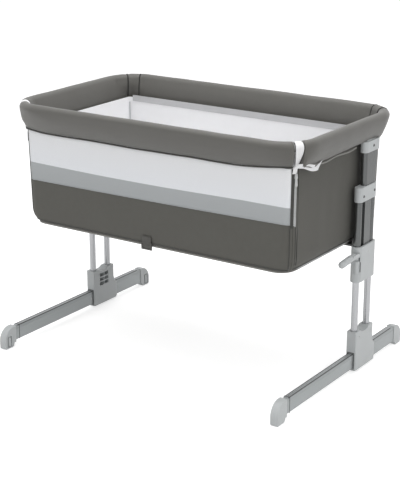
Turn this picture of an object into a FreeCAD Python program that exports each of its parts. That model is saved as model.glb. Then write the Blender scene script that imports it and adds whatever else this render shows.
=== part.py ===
import FreeCAD, Part
import Sketcher
import math
import os

# Bedside sleeper crib: a fabric tub on two height-adjustable twin-tube legs.
# Frame: X along the crib, Y from the drop side (-Y) to the back, Z up from the floor.

os.makedirs("parts", exist_ok=True)
doc = FreeCAD.newDocument("BedsideCrib")
Vec = FreeCAD.Vector
Rot = FreeCAD.Rotation
Place = FreeCAD.Placement

# ---------------------------------------------------------------- driving sizes, mm

driving_sizes = [
    ("crib_length", 930, "over the padded rails"),
    ("crib_depth", 554, "over the padded rails"),
    ("rim_height", 703, "floor to the top of the padded rail, middle height setting"),
    ("cover_radius", 16, "crown of the padded rail cover"),
    ("cover_drop", 64, "rail centre down to the hem of the cover"),
    ("cover_hem_inset", 21, "hem of the cover, inboard of the rail centre"),
    ("cover_hem", 3.5, "thickness of the hem"),
    ("side_hem_inset", -2, "outer hem of the side covers, which hang clear of the panels"),
    ("side_cover_drop", 50, "rail centre down to the outer hem of a side cover"),
    ("rail_corner_radius", 85, "bend of the rail tubes"),
    ("rail_tube_radius", 11, ""),
    ("rail_tube_wall", 1.5, ""),
    ("corner_gap_angle", 37, "place of the corner joint on its bend"),
    ("corner_gap", 20, "bare stretch of rail at the corner joint"),
    ("fit_gap", 0.3, "running clearance of sliding pieces"),
    ("soft_gap", 0.5, "clearance round fabric"),
    ("tub_bottom", 358, "floor to the underside of the tub"),
    ("panel_inset", 25.5, "outer face of the fabric panels, inboard of the rail centre"),
    ("panel_thickness", 3, ""),
    ("lining_thickness", 2, ""),
    ("lower_panel_height", 123, "solid fabric of the front panel"),
    ("band_height", 52, "grey mesh band above it"),
    ("frame_tube_radius", 8, "tubes round the tub floor"),
    ("board_thickness", 6, ""),
    ("mattress_thickness", 45, ""),
    ("mattress_crown", 6, "rise of the mattress top towards its middle"),
    ("leg_inset", 17, "leg centre, inboard of the crib's end"),
    ("leg_offset", 107, "leg centre, behind the crib's middle"),
    ("tube_spacing", 70, "between the two tubes of a leg"),
    ("leg_tube_radius", 8, ""),
    ("leg_tube_wall", 1.2, ""),
    ("leg_tube_top", 448, "floor to the top of the leg tubes"),
    ("profile_wall", 1.3, "wall of the twin-barrel profile"),
    ("profile_groove", 4, "depth of the profile's four grooves"),
    ("profile_core", 35, "length of the box between the two barrels"),
    ("housing_length", 101, "height housing, along Y"),
    ("housing_width", 31, ""),
    ("housing_height", 98, ""),
    ("housing_bottom", 262, "floor to the underside of the height housing"),
    ("lever_reach", 79, "grip beyond the front of the housing"),
    ("lever_radius", 9.5, "grip"),
    ("lever_arm_half", 5.8, "half height of the lever's arm"),
    ("lever_droop", 5, "angle of the grip below level"),
    ("lever_pivot_radius", 2.5, ""),
    ("lever_swing", 12, "press of the lever, degrees"),
    ("lock_travel", 5, "draw of the lock pin"),
    ("mid_bracket_height", 40, ""),
    ("mid_bracket_bottom", 482, "floor to the underside of the middle bracket"),
    ("bracket_wall", 2.6, "wall of the brackets round the leg profiles"),
    ("upper_tube_width", 18, ""),
    ("upper_tube_foot", 60, "length of the upper tube's section at its foot"),
    ("upper_tube_head", 74, "length of its section at its head"),
    ("upper_tube_lean", 5, "middle of its head, behind the middle of its foot"),
    ("top_bracket_drop", 92, "rim down to the underside of the top bracket"),
    ("top_bracket_height", 29, ""),
    ("foot_length", 690, "over the foot caps"),
    ("bar_width", 20, "rear foot bar"),
    ("bar_height", 46, ""),
    ("bar_wall", 1.6, ""),
    ("bar_bottom", 14, "floor to the underside of the rear bar"),
    ("bar_shoulder", 8, "side groove, below the top of the bar"),
    ("bar_overlap", 60, "front bar inside the rear bar when drawn out"),
    ("cap_length", 46, "foot cap beyond its bar"),
    ("cap_width", 23, ""),
    ("cap_height", 61, ""),
    ("cap_plug", 18, "tongue of the cap inside its bar"),
    ("socket_width", 29, "leg socket, along X"),
    ("socket_height", 120, "floor to the top of the socket"),
    ("socket_wall", 6, "round the leg tubes, along Y"),
    ("socket_flare", 15, "spread of the socket's foot to the rear"),
    ("button_radius", 4, "snap button of the front foot"),
    ("screw_radius", 4, "bracket screw heads"),
    ("zip_width", 9, ""),
    ("slider_height", 12, ""),
]

sheet = doc.addObject("Spreadsheet::Sheet", "Sizes")
for row, (alias, value, note) in enumerate(driving_sizes, start=1):
    sheet.set(f"A{row}", alias)
    sheet.set(f"B{row}", str(value))
    sheet.set(f"C{row}", note)
    sheet.setAlias(f"B{row}", alias)
doc.recompute()


def size(alias):
    return float(sheet.get(alias))


# Rail ring: centre line of the padded rails and of everything that follows it.
rail_x = size("crib_length") / 2 - size("cover_radius")
rail_y = size("crib_depth") / 2 - size("cover_radius")
rail_z = size("rim_height") - size("cover_radius")
bend = size("rail_corner_radius")
corner_x = rail_x - bend
corner_y = rail_y - bend
gap_half_angle = math.degrees(size("corner_gap") / 2 / bend)
front_end_angle = size("corner_gap_angle") + gap_half_angle
side_end_angle = size("corner_gap_angle") - gap_half_angle

# Legs.
leg_x = size("crib_length") / 2 - size("leg_inset")
leg_y = size("leg_offset")
half_spacing = size("tube_spacing") / 2
barrel_radius = size("leg_tube_radius") + size("fit_gap") + size("profile_wall")
profile_length = size("tube_spacing") + 2 * barrel_radius
housing_top = size("housing_bottom") + size("housing_height")
profile_bottom = housing_top - 0.6 * size("housing_height")
bracket_web = 2.0
mid_bracket_top = size("mid_bracket_bottom") + size("mid_bracket_height")
profile_top = size("mid_bracket_bottom") + size("mid_bracket_height") / 2
top_bracket_bottom = size("rim_height") - size("top_bracket_drop")

# ---------------------------------------------------------------- modelling helpers

nodes = []


def new_body(label):
    body = doc.addObject("PartDesign::Body", label)
    body.Label = label
    nodes.append(body)
    return body


def new_feature(label, shape, placement=None):
    feature = doc.addObject("Part::Feature", label)
    feature.Label = label
    feature.Shape = shape
    if placement:
        feature.Placement = placement
    nodes.append(feature)
    return feature


def sketch_on(body, name, height=0.0, role="XY_Plane"):
    """Sketch on one of the body's own origin planes, raised along its normal."""
    sketch = body.newObject("Sketcher::SketchObject", name)
    plane = next(item for item in body.Origin.OriginFeatures if item.Role == role)
    sketch.AttachmentSupport = [(plane, "")]
    sketch.MapMode = "FlatFace"
    sketch.AttachmentOffset = Place(Vec(0, 0, height), Rot())
    return sketch


def add_circle(sketch, x, y, radius, bound=None):
    index = sketch.addGeometry(Part.Circle(Vec(x, y, 0), Vec(0, 0, 1), radius), False)
    if bound:
        constraint = sketch.addConstraint(Sketcher.Constraint("Radius", index, radius))
        sketch.setExpression(f"Constraints[{constraint}]", bound)


def add_outline(sketch, start, steps):
    """Closed outline: a step of one point is a line, a step of two is an arc through the first."""
    here = Vec(*start, 0)
    for step in steps + [(start,)]:
        there = Vec(*step[-1], 0)
        if there.isEqual(here, 1e-7):
            continue
        if len(step) == 2:
            curve = Part.Arc(here, Vec(*step[0], 0), there)
        else:
            curve = Part.LineSegment(here, there)
        sketch.addGeometry(curve, False)
        here = there


def add_rectangle(sketch, left, bottom, right, top):
    add_outline(sketch, (left, bottom), [((right, bottom),), ((right, top),), ((left, top),)])


def stadium_steps(middle, length, width):
    """Outline with round ends, long along y, about a middle y."""
    half = width / 2
    low = middle - length / 2 + half
    high = middle + length / 2 - half
    start = (half, low)
    steps = [((half, high),), ((0, high + half), (-half, high)),
             ((-half, low),), ((0, low - half), (half, low))]
    return start, steps


def add_stadium(sketch, middle, length, width):
    start, steps = stadium_steps(middle, length, width)
    add_outline(sketch, start, steps)


def pad(body, sketch, length, bound=None):
    feature = body.newObject("PartDesign::Pad", "Pad")
    feature.Profile = sketch
    feature.Length = length
    if bound:
        feature.setExpression("Length", bound)
    return feature


def pocket(body, sketch, length, upwards=False):
    """Cut from the sketch against its normal, or along it; a cut that removes nothing is an error."""
    doc.recompute()
    before = body.Shape.Volume
    feature = body.newObject("PartDesign::Pocket", "Pocket")
    feature.Profile = sketch
    feature.Length = length
    feature.Reversed = upwards
    doc.recompute()
    if body.Shape.Volume > before - 0.01:
        raise RuntimeError(f"{body.Label}: a pocket removed nothing")
    return feature


def fillet(body, radius, chosen):
    """Round the edges of the body's tip that the test picks by their shape."""
    doc.recompute()
    tip = body.Tip
    names = [f"Edge{i}" for i, edge in enumerate(tip.Shape.Edges, start=1) if chosen(edge)]
    feature = body.newObject("PartDesign::Fillet", "Fillet")
    feature.Base = (tip, names)
    feature.Radius = radius
    return feature


def flat_edge(edge, axis, value, tolerance=0.01):
    """True for an edge that lies in the plane axis = value."""
    box = edge.BoundBox
    low = getattr(box, axis + "Min")
    high = getattr(box, axis + "Max")
    return abs(low - value) < tolerance and abs(high - value) < tolerance


def face_of(wires):
    outer = Part.Face(wires[0])
    for inner in wires[1:]:
        outer = outer.cut(Part.Face(inner))
    return outer.Faces[0]


def closed_wire(points_and_arcs, start):
    edges = []
    here = start
    for step in points_and_arcs + [(start,)]:
        there = step[-1]
        if there.isEqual(here, 1e-7):
            continue
        if len(step) == 2:
            edges.append(Part.Arc(here, step[0], there).toShape())
        else:
            edges.append(Part.LineSegment(here, there).toShape())
        here = there
    return Part.Wire(edges)


# ---------------------------------------------------------------- the rail ring

def ring_point(corner, angle, offset, height):
    """Point on a bend of the ring; offset is outboard of the rail centre line."""
    reach = bend + offset
    a = math.radians(angle)
    return Vec(corner[0] + reach * math.cos(a), corner[1] + reach * math.sin(a), height)


def ring_arc(corner, start_angle, end_angle, offset, height):
    middle = (start_angle + end_angle) / 2
    return Part.Arc(
        ring_point(corner, start_angle, offset, height),
        ring_point(corner, middle, offset, height),
        ring_point(corner, end_angle, offset, height),
    ).toShape()


front_right = (corner_x, -corner_y)
front_left = (-corner_x, -corner_y)
back_right = (corner_x, corner_y)
back_left = (-corner_x, corner_y)


def front_path(offset, height, end_angle):
    """From the right-hand corner joint round the drop side to the left-hand one."""
    right = ring_arc(front_right, -end_angle, -90, offset, height)
    left = ring_arc(front_left, -90, -180 + end_angle, offset, height)
    straight = Part.LineSegment(right.Vertexes[-1].Point, left.Vertexes[0].Point).toShape()
    return Part.Wire([right, straight, left])


def back_path(offset, height):
    right = ring_arc(back_right, 0, 90, offset, height)
    left = ring_arc(back_left, 90, 180, offset, height)
    straight = Part.LineSegment(right.Vertexes[-1].Point, left.Vertexes[0].Point).toShape()
    return Part.Wire([right, straight, left])


def side_path(side, offset, height, end_angle):
    """From the corner joint to the start of the back bend; side is 1 right, -1 left."""
    if side > 0:
        bend_part = ring_arc(front_right, -end_angle, 0, offset, height)
    else:
        bend_part = ring_arc(front_left, -180 + end_angle, -180, offset, height)
    top = Vec(side * (rail_x + offset), corner_y, height)
    straight = Part.LineSegment(bend_part.Vertexes[-1].Point, top).toShape()
    return Part.Wire([bend_part, straight])


def section_frame(path):
    """Outboard and up directions of the ring at the start of a path, and that start."""
    start = path.Edges[0].Vertexes[0].Point
    tangent = path.Edges[0].tangentAt(path.Edges[0].FirstParameter)
    up = Vec(0, 0, 1)
    outboard = tangent.cross(up)
    if outboard.dot(Vec(start.x, start.y, 0)) < 0:
        outboard = outboard * -1
    return start, outboard, up


def placed_section(path, start, steps):
    """Closed wire drawn as (outboard, up) pairs at the start of the path."""
    origin, outboard, up = section_frame(path)

    def at(pair):
        return origin + outboard * pair[0] + up * pair[1]

    moved = [tuple(at(pair) for pair in step) for step in steps]
    return closed_wire(moved, at(start))


def circle_section(path, radius):
    return placed_section(path, (radius, 0), [((0, radius), (-radius, 0)), ((0, -radius), (radius, 0))])


def cover_section(path, hem_inset, drop, inner_inset, inner_drop):
    """Padded cover: round crown over the rail, faces falling inboard to the hem."""
    crown = size("cover_radius")
    bulge = 1.5
    outer_middle = ((crown - hem_inset) / 2 + bulge, -drop / 2)
    inner_middle = ((-crown - inner_inset) / 2 - bulge, -inner_drop / 2)
    steps = [
        ((0, crown), (-crown, 0)),
        (inner_middle, (-inner_inset, -inner_drop)),
        ((-hem_inset, -drop),),
        (outer_middle, (crown, 0)),
    ]
    return placed_section(path, (crown, 0), steps)


def sweep(path, wires):
    return path.makePipe(face_of(wires)).Solids[0]


def rail_tube(path):
    outer = size("rail_tube_radius")
    inner = outer - size("rail_tube_wall")
    return sweep(path, [circle_section(path, outer), circle_section(path, inner)])


def tongue_arc(corner, start_angle, end_angle, thickness, low, high):
    """Flat key that follows the bend, for the seat of the drop side in its corner joints."""
    edge = ring_arc(corner, start_angle, end_angle, 0, rail_z)
    path = Part.Wire([edge])
    half = thickness / 2
    wire = placed_section(path, (-half, low), [((half, low),), ((half, high),), ((-half, high),)])
    return sweep(path, [wire])


tongue_angle = 0.3 * gap_half_angle
tongue_thickness = 6
tongue_low = -10
tongue_high = 4


def make_rails():
    """Top frame: back rail with both bends, two side rails and the drop-side rail."""
    new_feature("back_rail_tube", rail_tube(back_path(0, rail_z)))
    for side, name in ((1, "right"), (-1, "left")):
        new_feature(f"{name}_rail_tube", rail_tube(side_path(side, 0, rail_z, side_end_angle)))
    front = rail_tube(front_path(0, rail_z, front_end_angle))
    plug_angle = math.degrees(2 * size("rail_tube_radius") / bend)
    for corner, turn in ((front_right, 1), (front_left, -1)):
        base = -90 + turn * (90 - front_end_angle)
        tongue = tongue_arc(corner, base - turn * plug_angle, base + turn * tongue_angle,
                            tongue_thickness, tongue_low, tongue_high)
        front = front.fuse(tongue)
    new_feature("drop_rail_tube", front.removeSplitter())


def make_corner_joints():
    """Moulded joints in the ends of the side rails; the drop rail's key leaves downwards."""
    clearance = size("fit_gap")
    radius = size("rail_tube_radius")
    spigot = radius - size("rail_tube_wall") - clearance / 3
    spigot_angle = math.degrees(25 / bend)
    for side, name, corner in ((1, "right", front_right), (-1, "left", front_left)):
        base = -90 + side * (90 - side_end_angle)
        far = -90 + side * (90 - front_end_angle)
        edge_margin = math.degrees(clearance / bend)
        body_edge = ring_arc(corner, base, far + side * edge_margin, 0, rail_z)
        body_path = Part.Wire([body_edge])
        joint = sweep(body_path, [circle_section(body_path, radius)])
        plug_path = Part.Wire([ring_arc(corner, base, base + side * spigot_angle, 0, rail_z)])
        joint = joint.fuse(sweep(plug_path, [circle_section(plug_path, spigot)]))
        slot = tongue_arc(corner, far - side, far + side * (tongue_angle + edge_margin),
                          tongue_thickness + 2 * clearance, -2 * radius, tongue_high + clearance)
        new_feature(f"corner_joint_{name}", joint.cut(slot).removeSplitter())


def make_covers():
    """Padded rail covers with a channel for the tube."""
    channel = size("rail_tube_radius") + size("fit_gap")
    inset = size("cover_hem_inset")
    inner_inset = inset + size("cover_hem")
    drop = size("cover_drop")
    margin = math.degrees(size("soft_gap") / bend)

    front = front_path(0, rail_z, front_end_angle + margin)
    wires = [cover_section(front, inset, drop, inner_inset, drop), circle_section(front, channel)]
    new_feature("drop_rail_cover", sweep(front, wires))

    back = back_path(0, rail_z)
    wires = [cover_section(back, inset, drop, inner_inset, drop), circle_section(back, channel)]
    new_feature("back_rail_cover", sweep(back, wires))

    top = top_bracket_bottom + size("top_bracket_height")
    gap = size("soft_gap")
    notch_half = size("upper_tube_head") / 2 + size("bracket_wall") + 4
    for side, name in ((1, "right"), (-1, "left")):
        path = side_path(side, 0, rail_z, side_end_angle - margin)
        section = cover_section(path, size("side_hem_inset"), size("side_cover_drop"), inner_inset, drop)
        cover = sweep(path, [section, circle_section(path, channel)])
        seam = Part.makeBox(2000, 2000, 400, Vec(-1000, corner_y - gap, rail_z - 200))
        cover = cover.cut(seam)
        # room for the leg bracket, which stands up between the two faces of the cover
        inner_face = rail_x - size("cover_radius") + 1
        width = 60
        low = side * inner_face if side > 0 else side * inner_face - width
        middle = leg_y + upper_head_middle
        notch = Part.makeBox(width, 2 * notch_half, 200, Vec(low, middle - notch_half, top + gap - 200))
        cover = cover.cut(notch)
        slot_half = saddle_thickness / 2 + gap
        slot = Part.makeBox(2 * slot_half, saddle_length + 2 * gap, rail_z - top,
                            Vec(side * leg_x - slot_half, middle - saddle_length / 2 - gap, top - gap))
        cover = cover.cut(slot)
        new_feature(f"{name}_rail_cover", max(cover.Solids, key=lambda solid: solid.Volume))


# ---------------------------------------------------------------- fabric tub

panel_top = rail_z - size("cover_drop") - 2 * size("soft_gap")
band_bottom = size("tub_bottom") + size("lower_panel_height")
window_bottom = band_bottom + size("band_height")
zip_half_angle = math.degrees((size("zip_width") / 2 + size("soft_gap")) / (bend - size("panel_inset")))
panel_front_angle = size("corner_gap_angle") + zip_half_angle
panel_side_angle = size("corner_gap_angle") - zip_half_angle


def wall_strip(path_maker, outer_inset, thickness, low, high):
    """Upright strip of fabric that follows the ring, from low to high."""
    path = path_maker(-outer_inset - thickness / 2, low)
    half = thickness / 2
    rise = high - low
    wire = placed_section(path, (-half, 0), [((half, 0),), ((half, rise),), ((-half, rise),)])
    return sweep(path, [wire])


def make_panels():
    """Front panel in three parts, side and back panels, and the pale lining inside."""
    inset = size("panel_inset")
    thick = size("panel_thickness")

    def front(offset, height):
        return front_path(offset, height, panel_front_angle)

    new_feature("front_lower_panel", wall_strip(front, inset, thick, size("tub_bottom"), band_bottom))
    new_feature("front_mesh_band", wall_strip(front, inset, thick, band_bottom, window_bottom))
    new_feature("front_mesh_window", wall_strip(front, inset, thick, window_bottom, panel_top))
    for side, name in ((1, "right"), (-1, "left")):
        def side_run(offset, height, side=side):
            return side_path(side, offset, height, panel_side_angle)

        new_feature(f"{name}_side_panel", wall_strip(side_run, inset, thick, size("tub_bottom"), panel_top))
    new_feature("back_panel", wall_strip(back_path, inset, thick, size("tub_bottom"), panel_top))

    lining_inset = inset + thick + size("soft_gap")
    lining_low = board_top + size("soft_gap")
    right = side_path(1, -lining_inset, lining_low, panel_side_angle)
    back = back_path(-lining_inset, lining_low)
    left = side_path(-1, -lining_inset, lining_low, panel_side_angle)
    path = Part.Wire(Part.sortEdges(right.Edges + back.Edges + left.Edges)[0])
    thin = size("lining_thickness")
    rise = panel_top - lining_low
    wire = placed_section(path, (-thin, 0), [((0, 0),), ((0, rise),), ((-thin, rise),)])
    new_feature("inner_lining", sweep(path, [wire]))


def rounded_plate(half_x, half_y, radius, low, thickness):
    start = Vec(half_x, -half_y + radius, low)
    diagonal = radius * (1 - math.sqrt(0.5))
    steps = []
    for sx, sy, along_x in ((1, 1, True), (-1, 1, False), (-1, -1, True), (1, -1, False)):
        before = (sx * half_x, sy * (half_y - radius))
        after = (sx * (half_x - radius), sy * half_y)
        if not along_x:
            before, after = after, before
        middle = (sx * (half_x - diagonal), sy * (half_y - diagonal))
        steps.append((Vec(*before, low),))
        steps.append((Vec(*middle, low), Vec(*after, low)))
    wire = closed_wire(steps, start)
    return Part.Face(wire).extrude(Vec(0, 0, thickness))


floor_thickness = 2
inner_inset = size("panel_inset") + size("panel_thickness") + size("soft_gap")
frame_z = size("tub_bottom") + floor_thickness + size("frame_tube_radius")
board_bottom = frame_z + size("frame_tube_radius")
board_top = board_bottom + size("board_thickness")
mattress_inset = inner_inset + size("lining_thickness") + 4


def make_tub_floor():
    """Fabric floor, the tube frame on it, the board and the mattress."""
    half_x = rail_x - inner_inset
    half_y = rail_y - inner_inset
    radius = bend - inner_inset
    new_feature("floor_panel", rounded_plate(half_x, half_y, radius, size("tub_bottom"), floor_thickness))

    tube_radius = size("frame_tube_radius")
    ring_inset = inner_inset + size("lining_thickness") + tube_radius + 1
    runs = []
    long_half = rail_x - ring_inset
    short_half = rail_y - ring_inset
    for sign in (1, -1):
        runs.append(Part.makeCylinder(tube_radius, 2 * long_half - 2 * radius,
                                      Vec(-long_half + radius, sign * short_half, frame_z), Vec(1, 0, 0)))
        runs.append(Part.makeCylinder(tube_radius, 2 * short_half - 2 * radius,
                                      Vec(sign * long_half, -short_half + radius, frame_z), Vec(0, 1, 0)))
    for sx, sy, first in ((1, 1, 0), (-1, 1, 90), (-1, -1, 180), (1, -1, 270)):
        centre = Vec(sx * (long_half - radius), sy * (short_half - radius), frame_z)
        circle = Part.Circle(centre, Vec(0, 0, 1), radius)
        edge = Part.Arc(circle, math.radians(first), math.radians(first + 90)).toShape()
        start = edge.Vertexes[0].Point
        ring = Part.Circle(start, edge.tangentAt(edge.FirstParameter), tube_radius).toShape()
        runs.append(Part.Wire([edge]).makePipe(Part.Face(Part.Wire([ring]))))
    frame = runs[0].fuse(runs[1:]).removeSplitter()
    new_feature("floor_frame", frame)

    board_inset = inner_inset + size("lining_thickness") + 2
    board = rounded_plate(rail_x - board_inset, rail_y - board_inset, bend - board_inset,
                          board_bottom, size("board_thickness"))
    new_feature("mattress_board", board)
    new_feature("mattress", mattress_shape())


def mattress_shape():
    """Mattress with drawn-in sides, a top crowned across its width and sewn cross channels."""
    half_x = rail_x - mattress_inset
    half_y = rail_y - mattress_inset
    radius = bend - mattress_inset
    low = board_top + size("fit_gap")
    crown = size("mattress_crown")
    rise = size("mattress_thickness")
    top = low + rise + crown
    draw = 3
    wires = []
    for height, inset in ((0, draw), (0.25 * rise, 0), (0.75 * rise, 0), (rise + crown, draw)):
        plate = rounded_plate(half_x - inset, half_y - inset, radius - inset, low + height, 1)
        bottom = min(plate.Faces, key=lambda face: face.CenterOfMass.z)
        wires.append(bottom.OuterWire)
    sides = Part.makeLoft(wires, True, True)
    crown_radius = (half_y * half_y + crown * crown) / (2 * crown)
    along = Vec(1, 0, 0)
    axis_z = top - crown_radius
    channels = 5
    groove = 2.5
    body = sides
    for index in range(channels):
        left = -half_x + 2 * half_x * index / channels
        right = -half_x + 2 * half_x * (index + 1) / channels
        low_part = Part.makeCylinder(crown_radius - groove, right - left, Vec(left, 0, axis_z), along)
        quilt_left = left + (groove if index else -1)
        quilt_right = right - (groove if index < channels - 1 else -1)
        quilt = Part.makeCylinder(crown_radius, quilt_right - quilt_left, Vec(quilt_left, 0, axis_z), along)
        piece = low_part.fuse(quilt)
        run = Part.makeBox(right - left, 4 * half_y, 4 * rise, Vec(left, -2 * half_y, low - rise))
        part = sides.common(run).common(piece)
        body = part if index == 0 else body.fuse(part)
    return body.removeSplitter()


def make_zips():
    """Zip tapes at the front corners, their sliders, and the white tapes at the corner joints."""
    inset = size("panel_inset")
    thick = size("panel_thickness")
    low = size("tub_bottom")
    gap_angle = size("corner_gap_angle")
    half = math.degrees(size("zip_width") / 2 / (bend - inset))
    tapes = []
    for side, corner in ((1, front_right), (-1, front_left)):
        middle = -90 + side * (90 - gap_angle)
        edge = ring_arc(corner, middle - half, middle + half, -inset - thick / 2, low)
        path = Part.Wire([edge])
        rise = panel_top - low
        wire = placed_section(path, (-thick / 2, 0), [((thick / 2, 0),), ((thick / 2, rise),),
                                                     ((-thick / 2, rise),)])
        tapes.append(sweep(path, [wire]))
    new_feature("zip_tapes", Part.makeCompound(tapes))

    slider_half = size("slider_height") / 2
    slider_z = panel_top - slider_half - 2
    for side, name, corner in ((1, "right", front_right), (-1, "left", front_left)):
        angle = -90 + side * (90 - gap_angle)
        body = new_body(f"zip_slider_{name}")
        block = sketch_on(body, "Slider", size("fit_gap"))
        width = size("zip_width") / 2
        add_outline(block, (slider_half, -width * 0.7), [
            ((slider_half, width * 0.7),), ((-slider_half, width),), ((-slider_half, -width),)])
        pad(body, block, 3)
        pull = sketch_on(body, "Pull", size("fit_gap") + 2)
        reach = 2.2 * size("slider_height")
        add_outline(pull, (0, -2), [((0, 2),), ((-reach + 4, 3.5),), ((-reach, 0), (-reach + 4, -3.5))])
        pad(body, pull, 2)
        outward = Vec(math.cos(math.radians(angle)), math.sin(math.radians(angle)), 0)
        foot = ring_point(corner, angle, -inset, slider_z)
        body.Placement = Place(foot, Rot(Vec(0, 0, 1), Vec(0, 0, 1).cross(outward) * -1, outward, "ZXY"))

    margin = math.degrees(2 * size("soft_gap") / bend)
    wraps = []
    for side, corner in ((1, front_right), (-1, front_left)):
        fixed_end = -90 + side * (90 - side_end_angle - margin)
        free_end = -90 + side * (90 - front_end_angle + tongue_angle + margin)
        path = Part.Wire([ring_arc(corner, free_end, fixed_end, 0, rail_z)])
        outer = size("rail_tube_radius") + 2.5
        inner = outer - 1.5
        drop = size("cover_drop") - 2
        foot_in = size("rail_tube_radius") / 2
        wire = placed_section(path, (outer, 0), [
            ((0, outer), (-outer, 0)), ((-outer, -drop),), ((-inner, -drop),), ((-inner, 0),),
            ((0, inner), (inner, 0)), ((-foot_in, -drop),), ((-foot_in + 1.5, -drop),)])
        wraps.append(sweep(path, [wire]))
    new_feature("corner_tapes", Part.makeCompound(wraps))


def make_strap_buckle():
    """Slotted buckle on a webbing tab at the front hem, for the strap to the parents' bed."""
    body = new_body("strap_buckle")
    face_y = -(rail_y - size("panel_inset")) - size("soft_gap")
    half_strap = 12.5
    bar = 4  # the buckle's rim, its crossbar, its slots and its thickness
    middle = -15
    low = size("tub_bottom") - 2 * bar
    high = low + 5 * bar
    frame = sketch_on(body, "Buckle", -face_y, "XZ_Plane")
    add_rectangle(frame, middle - half_strap - bar, low, middle + half_strap + bar, high)
    pad(body, frame, bar)
    slots = sketch_on(body, "Slots", -face_y + bar, "XZ_Plane")
    for base in (low + bar, low + 3 * bar):
        add_rectangle(slots, middle - half_strap, base, middle + half_strap, base + bar)
    pocket(body, slots, bar)
    tab = sketch_on(body, "Tab", -face_y, "XZ_Plane")
    add_rectangle(tab, middle - half_strap, high - bar / 2, middle + half_strap, high + 4.5 * bar)
    pad(body, tab, bar / 2)


# ---------------------------------------------------------------- upper leg, fixed to the tub

saddle_thickness = 10
saddle_length = 50


def twin_profile_steps():
    """Outline of the leg profile: a barrel at each end and a box between, with grooves beside it."""
    radius = barrel_radius
    core = size("profile_core") / 2
    dip = radius - size("profile_groove")
    meet = half_spacing - math.sqrt(radius * radius - dip * dip)
    half_turn = math.asin(dip / radius) / 2 + math.pi / 4
    bow = (radius * math.sin(half_turn), half_spacing - radius * math.cos(half_turn))
    steps = []
    for sign in (1, -1):
        steps += [((sign * radius, sign * core),), ((sign * dip, sign * core),), ((sign * dip, sign * meet),)]
        steps.append(((sign * bow[0], sign * bow[1]), (sign * radius, sign * half_spacing)))
        steps.append(((0, sign * (half_spacing + radius)), (-sign * radius, sign * half_spacing)))
        steps.append(((-sign * bow[0], sign * bow[1]), (-sign * dip, sign * meet)))
        steps += [((-sign * dip, sign * core),), ((-sign * radius, sign * core),)]
    return (radius, -core), steps


def make_leg_profile(side, name):
    """Dark twin-barrel extrusion that the two leg tubes slide in."""
    body = new_body(f"leg_profile_{name}")
    section = sketch_on(body, "Section", profile_bottom)
    start, steps = twin_profile_steps()
    add_outline(section, start, steps)
    bore = size("leg_tube_radius") + size("fit_gap")
    for y in (-half_spacing, half_spacing):
        add_circle(section, 0, y, bore)
    depth = barrel_radius - 2 * size("profile_wall")
    hollow = size("profile_core") / 2 - 2 * size("profile_wall")
    add_rectangle(section, -depth, -hollow, depth, hollow)
    pad(body, section, profile_top - profile_bottom)
    hole = sketch_on(body, "PivotHole", barrel_radius + 1, "YZ_Plane")
    add_circle(hole, 0, lever_z, size("lever_pivot_radius") + size("fit_gap"))
    pocket(body, hole, 2 * barrel_radius + 2)
    body.Placement = Place(Vec(side * leg_x, leg_y, 0), Rot())


lever_z = size("housing_bottom") + 0.79 * size("housing_height")
arm_inner = barrel_radius + size("fit_gap") * 2.5
arm_thickness = size("housing_width") / 2 - arm_inner - 2 * size("fit_gap") - 1.5
lever_root_gap = 5
lock_z = size("housing_bottom") + 0.2 * size("housing_height")


def make_housing(side, name):
    """Height housing: two bores for the leg tubes, a seat for the profile and the lever's slot."""
    length = size("housing_length")
    width = size("housing_width")
    gap = size("fit_gap")
    body = new_body(f"height_housing_{name}")
    outline = sketch_on(body, "Outline", size("housing_bottom"))
    add_stadium(outline, 0, length, width)
    pad(body, outline, size("housing_height"), "Sizes.housing_height")

    seat = sketch_on(body, "ProfileSeat", housing_top)
    add_stadium(seat, 0, profile_length + 2 * gap, 2 * (barrel_radius + gap))
    pocket(body, seat, housing_top - profile_bottom)

    bores = sketch_on(body, "TubeBores", profile_bottom)
    for y in (-half_spacing, half_spacing):
        add_circle(bores, 0, y, size("leg_tube_radius") + gap, "Sizes.leg_tube_radius + Sizes.fit_gap")
    pocket(body, bores, profile_bottom - size("housing_bottom"))

    # slot for the lever arm in the outer wall, open at the front
    arm_half = size("lever_arm_half")
    fall = length / 2 * math.sin(math.radians(size("lever_swing"))) + arm_half
    slot_face = arm_inner - gap if side > 0 else -arm_inner - arm_thickness - gap
    slot = sketch_on(body, "LeverSlot", slot_face, "YZ_Plane")
    front = -length / 2 - 1
    back = arm_half + 4
    ceiling = lever_z + arm_half + 1
    add_outline(slot, (front, lever_z - fall - 2), [
        ((front, ceiling),), ((back, ceiling),), ((back, lever_z - arm_half - 2),),
        ((-half_spacing + 6, lever_z - fall - 2),)])
    pocket(body, slot, arm_thickness + 2 * gap, upwards=True)

    # hole for the pivot bolt, right through
    hole = sketch_on(body, "PivotHole", width / 2 + 1, "YZ_Plane")
    add_circle(hole, 0, lever_z, size("lever_pivot_radius") + gap / 6)
    pocket(body, hole, width + 2)

    # chamber of the lock slide between the tube bores, and the way of its nose
    chamber = sketch_on(body, "LockChamber", lock_half_width + gap, "YZ_Plane")
    reach = half_spacing - size("leg_tube_radius") - gap - 3
    add_rectangle(chamber, -reach, lock_z - lock_half_height - gap, reach, lock_z + lock_half_height + gap)
    pocket(body, chamber, 2 * (lock_half_width + gap))
    nose = sketch_on(body, "NoseWay", half_spacing, "XZ_Plane")
    add_circle(nose, 0, lock_z, lock_nose_radius + gap)
    pocket(body, nose, half_spacing)
    body.Placement = Place(Vec(side * leg_x, leg_y, 0), Rot())


lock_half_width = 5
lock_half_height = 7
lock_nose_radius = 2.5


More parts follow.
